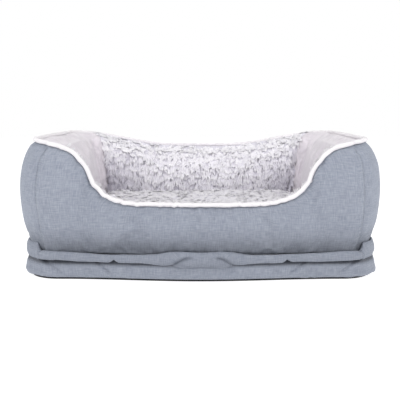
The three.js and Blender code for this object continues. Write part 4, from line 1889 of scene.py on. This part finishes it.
# ---------------------------------------------------------------------------------------------
# The zip
# ---------------------------------------------------------------------------------------------
@dataclass
class BaseZip:
    """The zip across the back of the base band.

    Real coils turn about every 1.2 mm. The pitch is wider, so that the turns show.
    """

    body: str = "bed"
    pitch: float = 2.5
    strand: float = 0.9

    def build(self) -> None:
        """Dresses the zip's CAD pieces and winds its coil."""
        finishes = {"zip_tape": ZIP_TAPE, "zip_stop_left": PLATED_ZINC, "zip_stop_right": PLATED_ZINC,
                    "zip_slider": PLATED_ZINC, "zip_pull": PLATED_ZINC}
        for node, finish in finishes.items():
            finish.dress(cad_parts[node])
            LOG.info("%s: %s", node, finish.name)
        self.coil()

    def coil(self) -> None:
        """The nylon coil: one flattened turn, repeated along the zip."""
        low, high = span("zip_coil")
        size, middle = high - low, (low + high) / 2
        tall = (size[2] - self.strand) / 2
        bpy.ops.object.select_all(action="DESELECT")
        place = (low[0] + self.strand, middle[1], middle[2])
        bpy.ops.mesh.primitive_torus_add(
            major_radius=tall * MM, minor_radius=self.strand / 2 * MM, major_segments=10, minor_segments=4,
            location=[value * MM for value in place], rotation=(0, math.pi / 2, 0))
        obj = bpy.context.object
        obj.name = "zip_coil_turns"
        bpy.ops.object.transform_apply(location=True, rotation=True, scale=True)
        bpy.ops.object.mode_set(mode="EDIT")
        bpy.ops.mesh.select_all(action="SELECT")
        flat = (1, size[1] / size[2], 1)
        bpy.ops.transform.resize(value=flat, center_override=[value * MM for value in place])
        bpy.ops.object.mode_set(mode="OBJECT")
        turns = int((size[0] - 2 * self.strand) / self.pitch) + 1
        apply_modifier(obj, "ARRAY", count=turns, use_relative_offset=False, use_constant_offset=True,
                       constant_offset_displace=(self.pitch * MM, 0, 0))
        bpy.ops.object.shade_smooth()
        wear(obj, NYLON_COIL, self.body, "zip_coil")
        LOG.info("%s: %d turns", obj.name, turns)


# ---------------------------------------------------------------------------------------------
# Studio
# ---------------------------------------------------------------------------------------------
@dataclass
class Studio:
    """The camera, the pale floor and the soft lights."""

    eye: tuple[float, float, float] = (-0.001, -1.531, 0.328)
    down: float = 7.70
    lens: float = 61.6
    floor_half: float = 6.0
    ceiling: float = 0.35

    def camera(self) -> None:
        """Sets the camera in front of the bed, looking slightly down."""
        data = bpy.data.cameras.new("camera")
        data.lens = self.lens
        data.clip_start, data.clip_end = 0.05, 50
        camera = bpy.data.objects.new("camera", data)
        camera.location = self.eye
        camera.rotation_euler = (math.radians(90 - self.down), 0, 0)
        bpy.context.scene.collection.objects.link(camera)
        bpy.context.scene.camera = camera

    def light(self, name: str, place: tuple[float, float, float], size: float, power: float) -> None:
        """A square soft light aimed at the bed.

        Args:
            name: The light's name.
            place: Where it hangs, in metres.
            size: Its side in metres.
            power: Its power in watts.
        """
        data = bpy.data.lights.new(name, "AREA")
        data.shape = "SQUARE"
        data.size = size
        data.energy = power
        lamp = bpy.data.objects.new(name, data)
        lamp.location = place
        aim = Vector((0, 0, 0.12)) - Vector(place)
        lamp.rotation_euler = aim.to_track_quat("-Z", "Y").to_euler()
        bpy.context.scene.collection.objects.link(lamp)

    def build(self) -> None:
        """Makes the floor, the world and the lights."""
        world = bpy.data.worlds.new("studio")
        world.use_nodes = True
        tree = world.node_tree
        place = add_node(tree, "ShaderNodeTexCoord")
        parts = add_node(tree, "ShaderNodeSeparateXYZ", Vector=place.outputs["Generated"])
        sky = {"From Min": 0.30, "From Max": 0.45, "To Min": 1.0, "To Max": self.ceiling}
        fade = add_node(tree, "ShaderNodeMapRange", sky, Value=parts.outputs["Z"])
        tree.links.new(fade.outputs["Result"], tree.nodes["Background"].inputs["Strength"])
        tree.nodes["Background"].inputs["Color"].default_value = (1, 1, 1, 1)
        bpy.context.scene.world = world
        bpy.context.scene.view_settings.view_transform = "Standard"
        h = self.floor_half / MM
        corners = np.array([(-h, -h, 0), (h, -h, 0), (h, h, 0), (-h, h, 0)])
        floor = make_mesh("studio_floor", corners, [(0, 1, 2, 3)])
        material, _, shader = new_material("white_seamless_paper", 0.9)
        shader.inputs["Base Color"].default_value = linear("#a0a0a0")
        shader.inputs["Emission Color"].default_value = (1, 1, 1, 1)
        shader.inputs["Emission Strength"].default_value = 0.86
        floor.data.materials.append(material)
        for name, side in (("left", -1), ("right", 1)):
            self.light(name, (1.9 * side, -1.5, 1.9), size=1.5, power=30)
        self.light("top", (0.0, -0.3, 2.6), size=1.8, power=14)


def main() -> None:
    """Builds the bed, piece by piece, and the studio round it."""
    logging.basicConfig(level=logging.INFO, format="%(message)s")
    studio = Studio()
    studio.camera()
    wall = BolsterWall()
    BaseMattress(wall.loop).build()
    wall.build()
    FoldedFlap(wall.fine_loop).build()
    WallPile(wall).build()
    SeatCushion().build()
    BaseZip().build()
    studio.build()


if __name__ == "__main__":
    main()
